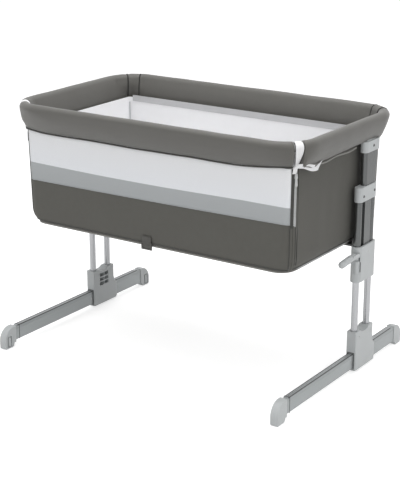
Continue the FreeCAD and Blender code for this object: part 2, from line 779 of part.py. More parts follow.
def make_lock_slide(side, name):
    """Slide in the housing whose nose enters the holes of the front leg tube."""
    body = new_body(f"lock_slide_{name}")
    gap = size("fit_gap")
    wall = half_spacing - size("leg_tube_radius") - gap - 3
    front = -wall + gap
    back = wall - gap - size("lock_travel") - 4
    block = sketch_on(body, "Block", -lock_half_width, "YZ_Plane")
    add_rectangle(block, front, lock_z - lock_half_height, back, lock_z + lock_half_height)
    pad(body, block, 2 * lock_half_width)
    nose = sketch_on(body, "Nose", -front, "XZ_Plane")
    add_circle(nose, 0, lock_z, lock_nose_radius)
    pad(body, nose, half_spacing - size("leg_tube_radius") - gap + front)
    body.Placement = Place(Vec(side * leg_x, leg_y, 0), Rot())


def make_lever(side, name):
    """Release lever: round drooping grip on a flat arm that swings in the housing's slot."""
    body = new_body(f"release_lever_{name}")
    gap = size("fit_gap")
    half = size("lever_arm_half")
    root = -size("housing_length") / 2 - lever_root_gap
    front = root - 0.3 * size("lever_reach")
    base = side * arm_inner if side > 0 else -arm_inner - arm_thickness
    arm = sketch_on(body, "Arm", base, "YZ_Plane")
    add_outline(arm, (front, lever_z - half), [
        ((0, lever_z - half),), ((half, lever_z), (0, lever_z + half)), ((front, lever_z + half),)])
    pad(body, arm, arm_thickness)
    bore = sketch_on(body, "PivotBore", base, "YZ_Plane")
    add_circle(bore, 0, lever_z, size("lever_pivot_radius") + gap / 6)
    pocket(body, bore, arm_thickness, upwards=True)

    # the grip is turned about its own axis and droops towards its tip
    grip = sketch_on(body, "GripHalf")
    radius = size("lever_radius")
    reach = size("lever_reach")
    add_outline(grip, (0, 0), [((0.7 * radius, 0),), ((radius, 0.3 * reach),), ((radius, reach - radius),),
                               ((radius * math.sqrt(0.5), reach - radius * (1 - math.sqrt(0.5))), (0, reach))])
    axis_x = side * (arm_inner + arm_thickness - radius)
    droop = math.radians(size("lever_droop"))
    direction = Vec(0, -math.cos(droop), -math.sin(droop))
    start = Vec(axis_x, root, lever_z)
    grip.MapMode = "Deactivated"
    grip.Placement = Place(start, Rot(Vec(1, 0, 0), direction, Vec(0, 0, 0), "YXZ"))
    turn = body.newObject("PartDesign::Revolution", "Grip")
    turn.Profile = grip
    turn.ReferenceAxis = (grip, ["V_Axis"])
    turn.Angle = 360
    body.Placement = Place(Vec(side * leg_x, leg_y, 0), Rot())


def make_pivot_bolt(side, name):
    width = size("housing_width")
    bolt = doc.addObject("Part::Cylinder", f"lever_pivot_{name}")
    bolt.Label = f"lever_pivot_{name}"
    bolt.setExpression("Radius", "Sizes.lever_pivot_radius")
    bolt.setExpression("Height", "Sizes.housing_width")
    bolt.Placement = Place(Vec(side * leg_x - width / 2, leg_y, lever_z), Rot(Vec(0, 1, 0), 90))
    nodes.append(bolt)


upper_foot_middle = barrel_radius + half_spacing - 3 - size("upper_tube_foot") / 2
upper_head_middle = upper_foot_middle + size("upper_tube_lean")
upper_bottom = profile_top + bracket_web
upper_top = top_bracket_bottom + size("top_bracket_height") - 4


def upper_tube_share(height):
    return (height - upper_bottom) / (upper_top - upper_bottom)


def upper_tube_length(height):
    """Length of the flaring upper tube's section at a height."""
    flare = size("upper_tube_head") - size("upper_tube_foot")
    return size("upper_tube_foot") + upper_tube_share(height) * flare


def upper_tube_middle(height):
    return upper_foot_middle + upper_tube_share(height) * size("upper_tube_lean")


def upper_section(body, name, height, grow):
    sketch = sketch_on(body, name, height)
    add_stadium(sketch, upper_tube_middle(height), upper_tube_length(height) + 2 * grow,
                size("upper_tube_width") + 2 * grow)
    return sketch


def make_upper_tube(side, name):
    """Flat-oval tube that flares to the rear on its way up to the side rail."""
    body = new_body(f"upper_tube_{name}")
    foot = upper_section(body, "Foot", upper_bottom, 0)
    head = upper_section(body, "Head", upper_top, 0)
    outer = body.newObject("PartDesign::AdditiveLoft", "Wall")
    outer.Profile = foot
    outer.Sections = [head]
    wall = -1.6
    inner_foot = upper_section(body, "InnerFoot", upper_bottom, wall)
    inner_head = upper_section(body, "InnerHead", upper_top, wall)
    inner = body.newObject("PartDesign::SubtractiveLoft", "Bore")
    inner.Profile = inner_foot
    inner.Sections = [inner_head]
    body.Placement = Place(Vec(side * leg_x, leg_y, 0), Rot())


def make_mid_bracket(side, name):
    """Bracket that joins the flaring upper tube to the twin-barrel profile."""
    wall = size("bracket_wall")
    gap = size("fit_gap")
    bottom = size("mid_bracket_bottom")
    width = 2 * (barrel_radius + wall)
    body = new_body(f"mid_bracket_{name}")
    outline = sketch_on(body, "Outline", bottom)
    add_stadium(outline, 0, profile_length + 2 * wall, width)
    pad(body, outline, size("mid_bracket_height"), "Sizes.mid_bracket_height")
    seat = sketch_on(body, "ProfileSeat", bottom)
    add_stadium(seat, 0, profile_length + 2 * gap, 2 * (barrel_radius + gap))
    pocket(body, seat, profile_top - bottom, upwards=True)
    socket = sketch_on(body, "TubeSeat", mid_bracket_top)
    add_stadium(socket, upper_tube_middle(mid_bracket_top), upper_tube_length(mid_bracket_top) + 2 * gap,
                size("upper_tube_width") + 2 * gap)
    pocket(body, socket, mid_bracket_top - profile_top - bracket_web)
    fillet(body, 1.2, lambda edge: flat_edge(edge, "Z", bottom) and edge.BoundBox.XLength > width - 0.5
           or flat_edge(edge, "Z", mid_bracket_top) and edge.BoundBox.XLength > width - 0.5)
    body.Placement = Place(Vec(side * leg_x, leg_y, 0), Rot())


def make_top_bracket(side, name):
    """Collar on the head of the upper tube with a saddle under the side rail."""
    wall = size("bracket_wall")
    gap = size("fit_gap")
    bottom = top_bracket_bottom
    top = bottom + size("top_bracket_height")
    body = new_body(f"top_bracket_{name}")
    outline = sketch_on(body, "Outline", bottom)
    length = upper_tube_length(top) + 2 * (wall + gap)
    add_stadium(outline, upper_tube_middle(top), length, size("upper_tube_width") + 2 * wall)
    pad(body, outline, size("top_bracket_height"), "Sizes.top_bracket_height")
    saddle = sketch_on(body, "Saddle", top)
    half = saddle_thickness / 2
    middle = upper_head_middle
    add_rectangle(saddle, -half, middle - saddle_length / 2, half, middle + saddle_length / 2)
    pad(body, saddle, rail_z - top - 2)
    seat = sketch_on(body, "RailSeat", -(middle - saddle_length), "XZ_Plane")
    add_circle(seat, side * (rail_x - leg_x), rail_z, size("rail_tube_radius") + 0.05)
    pocket(body, seat, 2 * saddle_length)
    bore = body.newObject("PartDesign::SubtractiveLoft", "TubeSeat")
    bore.Profile = upper_section(body, "SeatFoot", bottom, gap)
    bore.Sections = [upper_section(body, "SeatHead", upper_top, gap)]
    body.Placement = Place(Vec(side * leg_x, leg_y, 0), Rot())


def make_lower_bracket(side, name):
    """Stepped bracket from under the tub floor, over the housing, to the leg profile."""
    body = new_body(f"lower_bracket_{name}")
    tongue_top = size("tub_bottom") - size("fit_gap")
    plate = 5
    lip = 16
    width = 50
    housing_face = leg_x - size("housing_width") / 2
    profile_face = leg_x - barrel_radius
    riser = housing_face - 0.5
    deck = housing_top + 1
    reach = rail_x - inner_inset - 8 * plate
    section = sketch_on(body, "Section", -(leg_y + width / 2), "XZ_Plane")
    points = [(reach, tongue_top), (reach, tongue_top - plate), (riser, tongue_top - plate),
              (riser, deck), (profile_face, deck), (profile_face, deck + lip),
              (riser - plate, deck + lip), (riser - plate, tongue_top)]
    mirrored = [(side * x, z) for x, z in points]
    add_outline(section, mirrored[0], [(point,) for point in mirrored[1:]])
    pad(body, section, width)


def make_bracket_screws():
    """Pan-head screws of the middle and top brackets, in the outer faces."""
    heads = []
    radius = size("screw_radius")
    proud = 1.5
    screw_fall = 5
    spread = 0.86 * half_spacing
    for side in (1, -1):
        mid_face = leg_x + barrel_radius + size("bracket_wall")
        top_face = leg_x + size("upper_tube_width") / 2 + size("bracket_wall")
        mid_z = size("mid_bracket_bottom") + size("mid_bracket_height") / 2
        top_z = top_bracket_bottom + size("top_bracket_height") / 2
        spots = [(mid_face, leg_y - spread, mid_z - screw_fall), (mid_face, leg_y + spread, mid_z),
                 (top_face, leg_y + upper_head_middle, top_z)]
        for x, y, z in spots:
            direction = Vec(side, 0, 0)
            head = Part.makeCone(radius, radius * 0.7, proud, Vec(side * x, y, z), direction)
            recess = Part.makeCylinder(radius * 0.35, proud, Vec(side * (x + 0.5), y, z), direction)
            heads.append(head.cut(recess))
    new_feature("bracket_screws", Part.makeCompound(heads))


# ---------------------------------------------------------------- lower leg and foot

bar_top = size("bar_bottom") + size("bar_height")
socket_front = -half_spacing - size("leg_tube_radius") - size("socket_wall")
socket_rear = -socket_front
rear_bar_end = size("foot_length") / 2 - size("cap_length")
bar_corner = 1.5


def bar_outline(sketch, width, bottom, top, groove):
    """Foot bar section: flat sides, a groove below the shoulder on each side, a domed top."""
    half = width / 2
    shoulder = top - size("bar_shoulder")
    ridge = 0.72 * half
    steps = [((half - bar_corner, bottom),), ((half, bottom + bar_corner),)]
    if groove:
        steps += [((half, shoulder - 1.5),), ((half - groove, shoulder),), ((half, shoulder + 1.5),)]
    dome_foot = top - 0.45 * size("bar_shoulder")
    steps += [((half, dome_foot),), ((ridge, top - 0.1 * size("bar_shoulder")), (0, top)),
              ((-ridge, top - 0.1 * size("bar_shoulder")), (-half, dome_foot))]
    if groove:
        steps += [((-half, shoulder + 1.5),), ((-half + groove, shoulder),), ((-half, shoulder - 1.5),)]
    steps += [((-half, bottom + bar_corner),), ((-half + bar_corner, bottom),)]
    add_outline(sketch, (-half + bar_corner, bottom), steps)


def place_along_y(x, y):
    """Section drawn as (X, Z), extruded to the front (-Y) from y."""
    return Place(Vec(x, y, 0), Rot(Vec(1, 0, 0), Vec(0, 0, 1), Vec(0, -1, 0), "ZXY"))


def bar_level(steps_in):
    """Width, bottom and top of the bar section taken in by a distance."""
    return size("bar_width") - 2 * steps_in, size("bar_bottom") + steps_in, bar_top - steps_in


def make_rear_bar(side, name):
    """Rear bar: it runs through the leg socket, and the front bar slides in it."""
    body = new_body(f"foot_rear_bar_{name}")
    section = sketch_on(body, "Section")
    width, bottom, top = bar_level(0)
    bar_outline(section, width, bottom, top, 0.9)
    width, bottom, top = bar_level(size("bar_wall"))
    bar_outline(section, width, bottom, top, 0)
    pad(body, section, rear_bar_end - leg_y - socket_front)
    body.Placement = place_along_y(side * leg_x, rear_bar_end)


def make_front_bar(side, name):
    """Front bar: it telescopes into the rear bar so that the foot clears a low bed."""
    body = new_body(f"foot_front_bar_{name}")
    section = sketch_on(body, "Section")
    outer_step = size("bar_wall") + size("fit_gap")
    width, bottom, top = bar_level(outer_step)
    bar_outline(section, width, bottom, top, 0.9)
    width, bottom, top = bar_level(outer_step + size("bar_wall"))
    bar_outline(section, width, bottom, top, 0)
    inner_end = leg_y + socket_front + size("bar_overlap")
    pad(body, section, inner_end + rear_bar_end)
    hole = sketch_on(body, "ButtonHole", size("bar_width") / 2, "YZ_Plane")
    add_circle(hole, button_height, inner_end - button_y, size("button_radius") + size("fit_gap"))
    pocket(body, hole, size("bar_width") / 2)
    body.Placement = place_along_y(side * leg_x, inner_end)


button_y = leg_y + socket_front - size("button_radius") - 3
button_height = size("bar_bottom") + 0.45 * size("bar_height")


def make_button(side, name):
    """Snap button of the front foot, flush with the side of the bar."""
    face = size("bar_width") / 2 - size("bar_wall") - size("fit_gap")
    depth = size("bar_wall") + 2
    button = doc.addObject("Part::Cylinder", f"foot_button_{name}")
    button.Label = f"foot_button_{name}"
    button.setExpression("Radius", "Sizes.button_radius")
    button.Height = depth
    start = Vec(side * leg_x + face - depth, button_y, button_height)
    button.Placement = Place(start, Rot(Vec(0, 1, 0), 90))
    nodes.append(button)


def make_cap(side, name, end):
    """Foot cap: a lobe that curves down to the floor, with a plug in its bar."""
    front = end == "front"
    body = new_body(f"foot_cap_{end}_{name}")
    sign = -1 if front else 1
    seam = sign * rear_bar_end
    width = size("cap_width")
    length = size("cap_length")
    top = size("cap_height")
    underside = size("bar_bottom") - 2

    def at(out, height):
        return (seam + sign * out, height)

    lobe = sketch_on(body, "Lobe", -width / 2, "YZ_Plane")
    add_outline(lobe, at(0, top), [
        (at(0.25 * length, top),),
        (at(0.78 * length, 0.8 * top), at(length, 0.36 * top)),
        (at(length - 0.5, 5),),
        (at(length - 2.3, 1.5), at(length - 6, 0)),
        (at(0.34 * length, 0),),
        (at(0.24 * length, 4), at(0.18 * length, underside)),
        (at(0, underside),)])
    pad(body, lobe, width)
    fillet(body, 3.0, lambda edge: (flat_edge(edge, "X", width / 2) or flat_edge(edge, "X", -width / 2))
           and edge.BoundBox.ZMin > 4 and not flat_edge(edge, "Y", seam)
           and edge.BoundBox.ZMax > underside + 1)
    # recess in the inner face, with a tab left standing that reaches the floor
    recess = sketch_on(body, "Recess", -side * width / 2, "YZ_Plane")
    left, right = sorted((at(0.42 * length, 0)[0], at(0.8 * length, 0)[0]))
    add_rectangle(recess, left, 5, right, 36)
    add_rectangle(recess, left + 4, 7, right - 4, 34)
    pocket(body, recess, 5, upwards=side > 0)

    level = 0 if not front else size("bar_wall") + size("fit_gap")
    inner_width, inner_bottom, inner_top = bar_level(level + size("bar_wall") + size("fit_gap") / 2)
    plug = sketch_on(body, "Plug", -inner_width / 2, "YZ_Plane")
    tongue = sorted((seam, seam - sign * size("cap_plug")))
    plug_top = inner_top - size("bar_shoulder")
    add_rectangle(plug, tongue[0], inner_bottom + bar_corner, tongue[1], plug_top)
    pad(body, plug, inner_width)
    body.Placement = Place(Vec(side * leg_x, 0, 0), Rot())


def make_socket(side, name):
    """Leg socket: a collar round the foot bar that rises to hold the two leg tubes."""
    width = size("socket_width")
    top = size("socket_height")
    flare = size("socket_flare")
    low = size("bar_bottom") - 5
    collar = bar_top + 5
    body = new_body(f"leg_socket_{name}")
    outline = sketch_on(body, "Outline", -width / 2, "YZ_Plane")
    inner_edge = half_spacing - size("leg_tube_radius") - size("socket_wall") * 0.6
    add_outline(outline, (socket_front, low), [
        ((socket_rear + flare - 6, low),), ((socket_rear + flare, low + 8),),
        ((socket_rear + flare, collar - 8),),
        ((socket_rear + 0.3 * flare, collar + 4), (socket_rear, collar + 22)),
        ((socket_rear, top),), ((inner_edge, top),), ((0, top - 7), (-inner_edge, top)), ((socket_front, top),)])
    pad(body, outline, width)
    fillet(body, 3.0, lambda edge: edge.BoundBox.ZLength > top - collar - 30 and edge.BoundBox.YLength < 0.01
           and edge.BoundBox.XLength < 0.01)

    bore = sketch_on(body, "BarBore", -(socket_front - 1), "XZ_Plane")
    bar_width, bottom, bar_top_level = bar_level(-0.1)
    bar_outline(bore, bar_width, bottom, bar_top_level, 0)
    pocket(body, bore, socket_rear + flare - socket_front + 2)
    finish_socket(body, side, width, top, collar)


def finish_socket(body, side, width, top, collar):
    """Bores for the tubes, rib pockets in the inner face and screw holes in the outer one."""
    tubes = sketch_on(body, "TubeBores", top)
    for y in (-half_spacing, half_spacing):
        add_circle(tubes, 0, y, size("leg_tube_radius") + 0.1, "Sizes.leg_tube_radius + 0.1")
    pocket(body, tubes, top - tube_bottom)
    # two by three rib pockets between the tubes, in the inner face
    ribs = sketch_on(body, "RibPockets", -side * width / 2, "YZ_Plane")
    column = half_spacing - size("leg_tube_radius") - 6
    rows = 3
    base = collar + 3
    pitch = (top - 10 - base) / rows
    for row_index in range(rows):
        low = base + row_index * pitch
        for left, right in ((-column, -1), (1, column)):
            add_rectangle(ribs, left, low, right, low + pitch - 3)
    pocket(body, ribs, width * 0.6, upwards=side > 0)
    # screw holes in the outer face
    screws = sketch_on(body, "ScrewHoles", side * width / 2, "YZ_Plane")
    for y in (-half_spacing + 5, half_spacing - 2):
        add_circle(screws, y, top - 16, 1.8)
    pocket(body, screws, 3, upwards=side < 0)
    body.Placement = Place(Vec(side * leg_x, leg_y, 0), Rot())


tube_bottom = bar_top + 8
hole_pitch = 15


def make_leg_tubes(side, name):
    """Two bright tubes; the front one has the row of height holes facing the lock slide."""
    length = size("leg_tube_top") - tube_bottom
    outer = size("leg_tube_radius")
    tubes = []
    for y in (-half_spacing, half_spacing):
        shape = Part.makeCylinder(outer, length, Vec(0, y, tube_bottom))
        shape = shape.cut(Part.makeCylinder(outer - size("leg_tube_wall"), length, Vec(0, y, tube_bottom)))
        tubes.append(shape)
    lowest = lock_z - hole_pitch * 3
    for index in range(11):
        z = lowest + index * hole_pitch
        if tube_bottom + hole_pitch < z < size("leg_tube_top") - hole_pitch:
            hole = Part.makeCylinder(lock_nose_radius + 0.5, outer + 1, Vec(0, -half_spacing, z), Vec(0, 1, 0))
            tubes[0] = tubes[0].cut(hole)
    new_feature(f"leg_tubes_{name}", Part.makeCompound(tubes), Place(Vec(side * leg_x, leg_y, 0), Rot()))


# ---------------------------------------------------------------- assembly

make_rails()
make_corner_joints()
make_covers()
make_panels()
make_tub_floor()
make_zips()
make_strap_buckle()
for leg_side, leg_name in ((1, "right"), (-1, "left")):
    make_leg_profile(leg_side, leg_name)
    make_housing(leg_side, leg_name)
    make_lock_slide(leg_side, leg_name)
    make_lever(leg_side, leg_name)
    make_pivot_bolt(leg_side, leg_name)
    make_upper_tube(leg_side, leg_name)
    make_mid_bracket(leg_side, leg_name)
    make_top_bracket(leg_side, leg_name)
    make_lower_bracket(leg_side, leg_name)
    make_rear_bar(leg_side, leg_name)
    make_front_bar(leg_side, leg_name)
    make_button(leg_side, leg_name)
    make_cap(leg_side, leg_name, "front")
    make_cap(leg_side, leg_name, "rear")
    make_socket(leg_side, leg_name)
    make_leg_tubes(leg_side, leg_name)
make_bracket_screws()
doc.recompute()

for item in doc.Objects:
    if "Invalid" in item.State or "Error" in item.State:
        raise RuntimeError(f"{item.Label} did not build: {item.State}")
for node in nodes:
    if node.Shape.isNull() or not node.Shape.isValid() or not node.Shape.Solids:
        raise RuntimeError(f"{node.Label} has no valid solid")
    node.Shape.exportStep(f"parts/{node.Label}.step")
print(len(nodes), "sub-parts written")
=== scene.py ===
import bmesh
import bpy
import math
from mathutils import Matrix, Vector, noise


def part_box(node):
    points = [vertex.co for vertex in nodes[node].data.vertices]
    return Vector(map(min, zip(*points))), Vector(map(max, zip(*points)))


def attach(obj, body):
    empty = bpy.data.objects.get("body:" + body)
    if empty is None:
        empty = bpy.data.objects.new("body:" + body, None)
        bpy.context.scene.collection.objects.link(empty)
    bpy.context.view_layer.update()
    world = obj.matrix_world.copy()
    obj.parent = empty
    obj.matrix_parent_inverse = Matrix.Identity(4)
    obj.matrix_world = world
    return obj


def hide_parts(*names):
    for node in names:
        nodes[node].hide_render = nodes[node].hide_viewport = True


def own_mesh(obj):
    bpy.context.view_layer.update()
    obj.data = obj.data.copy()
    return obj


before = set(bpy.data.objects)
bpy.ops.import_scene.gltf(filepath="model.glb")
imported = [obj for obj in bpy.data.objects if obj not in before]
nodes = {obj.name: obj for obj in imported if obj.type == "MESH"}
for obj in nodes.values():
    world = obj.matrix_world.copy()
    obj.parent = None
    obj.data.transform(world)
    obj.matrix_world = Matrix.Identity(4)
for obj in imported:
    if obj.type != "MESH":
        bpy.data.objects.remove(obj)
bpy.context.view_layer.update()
sides = {"right": 1, "left": -1}
print("frame loaded:", len(nodes), "nodes")

# The rail ring, read from the frame: every fabric piece follows its bends.
tubeLow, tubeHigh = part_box("back_rail_tube")
tubeRadius = (tubeHigh.z - tubeLow.z) / 2
railX = tubeHigh.x - tubeRadius
railY = tubeHigh.y - tubeRadius
railZ = tubeLow.z + tubeRadius
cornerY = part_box("left_rail_tube")[1].y
bend = railY - cornerY
cornerX = railX - bend
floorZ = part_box("floor_panel")[0].z
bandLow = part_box("front_mesh_band")[0].z
windowLow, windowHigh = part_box("front_mesh_window")[0].z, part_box("front_mesh_window")[1].z
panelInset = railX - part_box("right_side_panel")[1].x
up = Vector((0, 0, 1))

# The corner joint in each front bend, the zip under it and the panel's binding beside the zip.
joint = {"angle": 37.0, "gap": 0.020, "zipHalf": 0.005, "bindingAndShadow": 0.007}


def degreesOf(length, radius=bend):
    return math.degrees(length / radius)


frontEnd = joint["angle"] + degreesOf(joint["gap"] / 2)
sideEnd = joint["angle"] - degreesOf(joint["gap"] / 2)
zipSpread = degreesOf(joint["zipHalf"], bend - panelInset / 2)


def clamp(value, low=0.0, high=1.0):
    return max(low, min(high, value))


def ease(value):
    value = clamp(value)
    return value * value * (3 - 2 * value)


def sway(place, scale, seed=0.0):  # smooth noise from -1 to 1, the same on every run
    return noise.noise(Vector((place[0] * scale + seed, place[1] * scale - seed, place[2] * scale)))


# Runs round the ring: (place on the rail's centre line, outward direction, distance run).
# wrap is how far the back bends belong to the sides and not to the back.
def ringRun(part, end=0.0, step=0.008, wrap=0.0):
    bends = {
        "front": [((1, -1), -end, -90), ((-1, -1), -90, -180 + end)],
        "back": [((1, 1), wrap, 90), ((-1, 1), 90, 180 - wrap)],
        "right": [((1, -1), -end, 0)] + ([((1, 1), 0, wrap)] if wrap else []),
        "left": [((-1, -1), -180 + end, -180)] + ([((-1, 1), 180, 180 - wrap)] if wrap else []),
    }[part]
    places = []
    for signs, first, last in bends:
        centre = Vector((signs[0] * cornerX, signs[1] * cornerY, 0))
        count = max(3, round(math.radians(abs(last - first)) * bend / step))
        turned = []
        for k in range(count + 1):
            turn = math.radians(first + (last - first) * k / count)
            outward = Vector((math.cos(turn), math.sin(turn), 0))
            turned.append((centre + outward * bend, outward))
        if places:
            places += between(places[-1], turned[0], step)
        places += turned
    if part in sides and not wrap:
        stop = (Vector((sides[part] * railX, cornerY, 0)), Vector((sides[part], 0, 0)))
        places += between(places[-1], stop, step) + [stop]
    run = [(places[0][0], places[0][1], 0.0)]
    for place, outward in places[1:]:
        run.append((place, outward, run[-1][2] + (place - run[-1][0]).length))
    return run


def between(first, last, step):
    gap = last[0] - first[0]
    count = max(1, round(gap.length / step))
    return [(first[0] + gap * k / count, first[1]) for k in range(1, count)]


def joinRuns(*runs):
    whole = []
    for run in runs:
        start = whole[-1][2] if whole else 0.0
        for place, outward, distance in run:
            if whole and (place - whole[-1][0]).length < 1e-5:
                continue
            whole.append((place, outward, start + distance))
    return whole


def newPiece(name, mesh):
    piece = bpy.data.objects.new(name, mesh)
    bpy.context.scene.collection.objects.link(piece)
    return piece


def pieceFrom(work, name):
    mesh = bpy.data.meshes.new(name)
    work.to_mesh(mesh)
    work.free()
    return newPiece(name, mesh)


def onlySelect(piece):
    bpy.ops.object.select_all(action="DESELECT")
    piece.select_set(True)
    bpy.context.view_layer.objects.active = piece


def applyAll(piece):
    onlySelect(piece)
    for modifier in list(piece.modifiers):
        bpy.ops.object.modifier_apply(modifier=modifier.name)


def solidify(piece, thickness, offset=-1.0):
    shell = piece.modifiers.new("thickness", "SOLIDIFY")
    shell.thickness = thickness
    shell.offset = offset


def subdivide(piece, levels=1):
    smooth = piece.modifiers.new("smooth", "SUBSURF")
    smooth.levels = levels
    smooth.render_levels = levels


def shadeSmooth(piece, angle=math.radians(50)):
    onlySelect(piece)
    bpy.ops.object.shade_smooth_by_angle(angle=angle)


# The walls hang from bent rails but turn tighter corners: how far outboard of the rail they stand.
def tightOut(outward, inset, radius):
    big, small = max(abs(outward.x), abs(outward.y)), min(abs(outward.x), abs(outward.y))
    flat = bend - inset
    core = flat - radius
    if flat * small <= core * big:
        return flat / big - bend
    return core * (big + small) + math.sqrt(radius ** 2 - core ** 2 * (1 - 2 * big * small)) - bend


# A skin swept along a run: profile(distance, outward) gives (outward, height) pairs; UV is in metres.
def sweptSkin(name, run, profile, loop=False):
    work = bmesh.new()
    uv = work.loops.layers.uv.new("cloth")
    rows, lengths = [], []
    for place, outward, distance in run:
        pairs = profile(distance, outward)
        rows.append([work.verts.new(place + outward * out + up * height) for out, height in pairs])
        total = [0.0]
        for a, b in zip(pairs, pairs[1:] + pairs[:1]):
            total.append(total[-1] + math.hypot(b[0] - a[0], b[1] - a[1]))
        lengths.append(total)
    wide = len(rows[0])
    for i in range(len(rows) - 1):
        for j in range(wide if loop else wide - 1):
            k = (j + 1) % wide
            face = work.faces.new((rows[i][j], rows[i][k], rows[i + 1][k], rows[i + 1][j]))
            corners = ((i, j), (i, j + 1), (i + 1, j + 1), (i + 1, j))
            for corner, (a, b) in zip(face.loops, corners):
                corner[uv].uv = (run[a][2], lengths[a][b])
    if loop:
        for row in (rows[0], rows[-1]):
            centre = work.verts.new(sum((v.co for v in row), Vector()) / wide)
            for j in range(wide):
                work.faces.new((row[j], row[(j + 1) % wide], centre))
    bmesh.ops.recalc_face_normals(work, faces=work.faces)
    return pieceFrom(work, name)


def faceOutward(piece):  # an open skin whose normals should point away from the tub
    face = piece.data.polygons[len(piece.data.polygons) // 2]
    if face.normal.dot(Vector((face.center.x, face.center.y, 0))) < 0:
        piece.data.flip_normals()


def moveVertices(piece, shift):
    for vertex in piece.data.vertices:
        vertex.co += shift(vertex.co.copy(), vertex.normal.copy())
    piece.data.update()


# Cloth pressure from inside, with some vertices held, and no point moving past the cap.
def puff(piece, held, pressure, cap, frames=20):
    start = [vertex.co.copy() for vertex in piece.data.vertices]
    group = piece.vertex_groups.new(name="held")
    group.add(held, 1.0, "REPLACE")
    cloth = piece.modifiers.new("cloth", "CLOTH")
    cloth.settings.use_pressure = True
    cloth.settings.uniform_pressure_force = pressure
    cloth.settings.effector_weights.gravity = 0
    cloth.settings.vertex_group_mass = "held"
    cloth.settings.quality = 4
    for number in range(1, frames + 1):
        bpy.context.scene.frame_set(number)
    onlySelect(piece)
    bpy.ops.object.modifier_apply(modifier="cloth")
    for vertex, first in zip(piece.data.vertices, start):
        move = vertex.co - first
        if move.length > cap:
            vertex.co = first + move.normalized() * cap
    piece.vertex_groups.clear()
    bpy.context.scene.frame_set(1)


# Materials: cloth follows the UV map, plastic and metal follow the object.


def newGroup(name, inputs, outputs):
    tree = bpy.data.node_groups.new(name, "ShaderNodeTree")
    for label, kind, value in inputs:
        socket = tree.interface.new_socket(label, in_out="INPUT", socket_type=kind)
        if value is not None:
            socket.default_value = value
    for label, kind in outputs:
        tree.interface.new_socket(label, in_out="OUTPUT", socket_type=kind)
    return tree, tree.nodes.new("NodeGroupInput"), tree.nodes.new("NodeGroupOutput")


def addMath(tree, operation, first, second=None):
    node = tree.nodes.new("ShaderNodeMath")
    node.operation = operation
    for socket, value in zip(node.inputs, (first, second)):
        if value is None:
            continue
        if isinstance(value, (int, float)):
            socket.default_value = value
        else:
            tree.links.new(value, socket)
    return node.outputs[0]


def addNoise(tree, vector, scale, detail=3.0):
    node = tree.nodes.new("ShaderNodeTexNoise")
    node.inputs["Scale"].default_value = scale
    node.inputs["Detail"].default_value = detail
    tree.links.new(vector, node.inputs["Vector"])
    return node.outputs["Fac"]


def makeWeaveGroup():  # plain weave from the UV map in metres: threads over and under each other
    tree, given, result = newGroup(
        "weave",
        [("Vector", "NodeSocketVector", None), ("Threads per m", "NodeSocketFloat", 900.0)],
        [("Height", "NodeSocketFloat"), ("Shade", "NodeSocketFloat")],
    )
    split = tree.nodes.new("ShaderNodeSeparateXYZ")
    tree.links.new(given.outputs["Vector"], split.inputs[0])
    waves = []
    for axis in ("X", "Y"):
        spread = addMath(tree, "MULTIPLY", split.outputs[axis], given.outputs["Threads per m"])
        waves.append(addMath(tree, "SINE", addMath(tree, "MULTIPLY", spread, math.pi)))
    product = addMath(tree, "MULTIPLY", waves[0], waves[1])
    height = addMath(tree, "ADD", addMath(tree, "MULTIPLY", product, 0.5), 0.5)
    slubs = addNoise(tree, given.outputs["Vector"], 60.0, 5.0)
    threads, uneven = addMath(tree, "MULTIPLY", height, 0.18), addMath(tree, "MULTIPLY", slubs, 0.5)
    shade = addMath(tree, "ADD", threads, uneven)
    tree.links.new(height, result.inputs["Height"])
    tree.links.new(addMath(tree, "ADD", shade, 0.35), result.inputs["Shade"])
    return tree


def makeMeshGroup():  # knitted mesh: rows of small openings set half a pitch apart
    tree, given, result = newGroup(
        "knittedMesh",
        [("Vector", "NodeSocketVector", None), ("Openings per m", "NodeSocketFloat", 420.0)],
        [("Opening", "NodeSocketFloat"), ("Height", "NodeSocketFloat")],
    )
    split = tree.nodes.new("ShaderNodeSeparateXYZ")
    tree.links.new(given.outputs["Vector"], split.inputs[0])
    across = addMath(tree, "MULTIPLY", split.outputs["X"], given.outputs["Openings per m"])
    along = addMath(tree, "MULTIPLY", split.outputs["Y"], given.outputs["Openings per m"])
    row = addMath(tree, "FLOOR", along)
    shifted = addMath(tree, "ADD", across, addMath(tree, "MULTIPLY", row, 0.5))
    dx = addMath(tree, "SUBTRACT", addMath(tree, "FRACT", shifted), 0.5)
    dy = addMath(tree, "SUBTRACT", addMath(tree, "FRACT", along), 0.5)
    square = addMath(tree, "ADD", addMath(tree, "MULTIPLY", dx, dx), addMath(tree, "MULTIPLY", dy, dy))
    radius = addMath(tree, "SQRT", square)
    opening = tree.nodes.new("ShaderNodeMapRange")
    opening.inputs["From Min"].default_value = 0.22
    opening.inputs["From Max"].default_value = 0.36
    opening.inputs["To Min"].default_value = 1.0
    opening.inputs["To Max"].default_value = 0.0
    tree.links.new(radius, opening.inputs["Value"])
    tree.links.new(opening.outputs[0], result.inputs["Opening"])
    tree.links.new(radius, result.inputs["Height"])
    return tree


def makeMottleGroup():  # slow colour change and fine grain, for plastic and metal
    tree, given, result = newGroup(
        "mottle",
        [("Vector", "NodeSocketVector", None), ("Patches", "NodeSocketFloat", 14.0),
         ("Grain", "NodeSocketFloat", 900.0)],
        [("Shade", "NodeSocketFloat"), ("Height", "NodeSocketFloat")],
    )
    for label, socket, detail in (("Patches", "Shade", 4.0), ("Grain", "Height", 2.0)):
        texture = tree.nodes.new("ShaderNodeTexNoise")
        texture.inputs["Detail"].default_value = detail
        tree.links.new(given.outputs["Vector"], texture.inputs["Vector"])
        tree.links.new(given.outputs[label], texture.inputs["Scale"])
        tree.links.new(texture.outputs["Fac"], result.inputs[socket])
    return tree


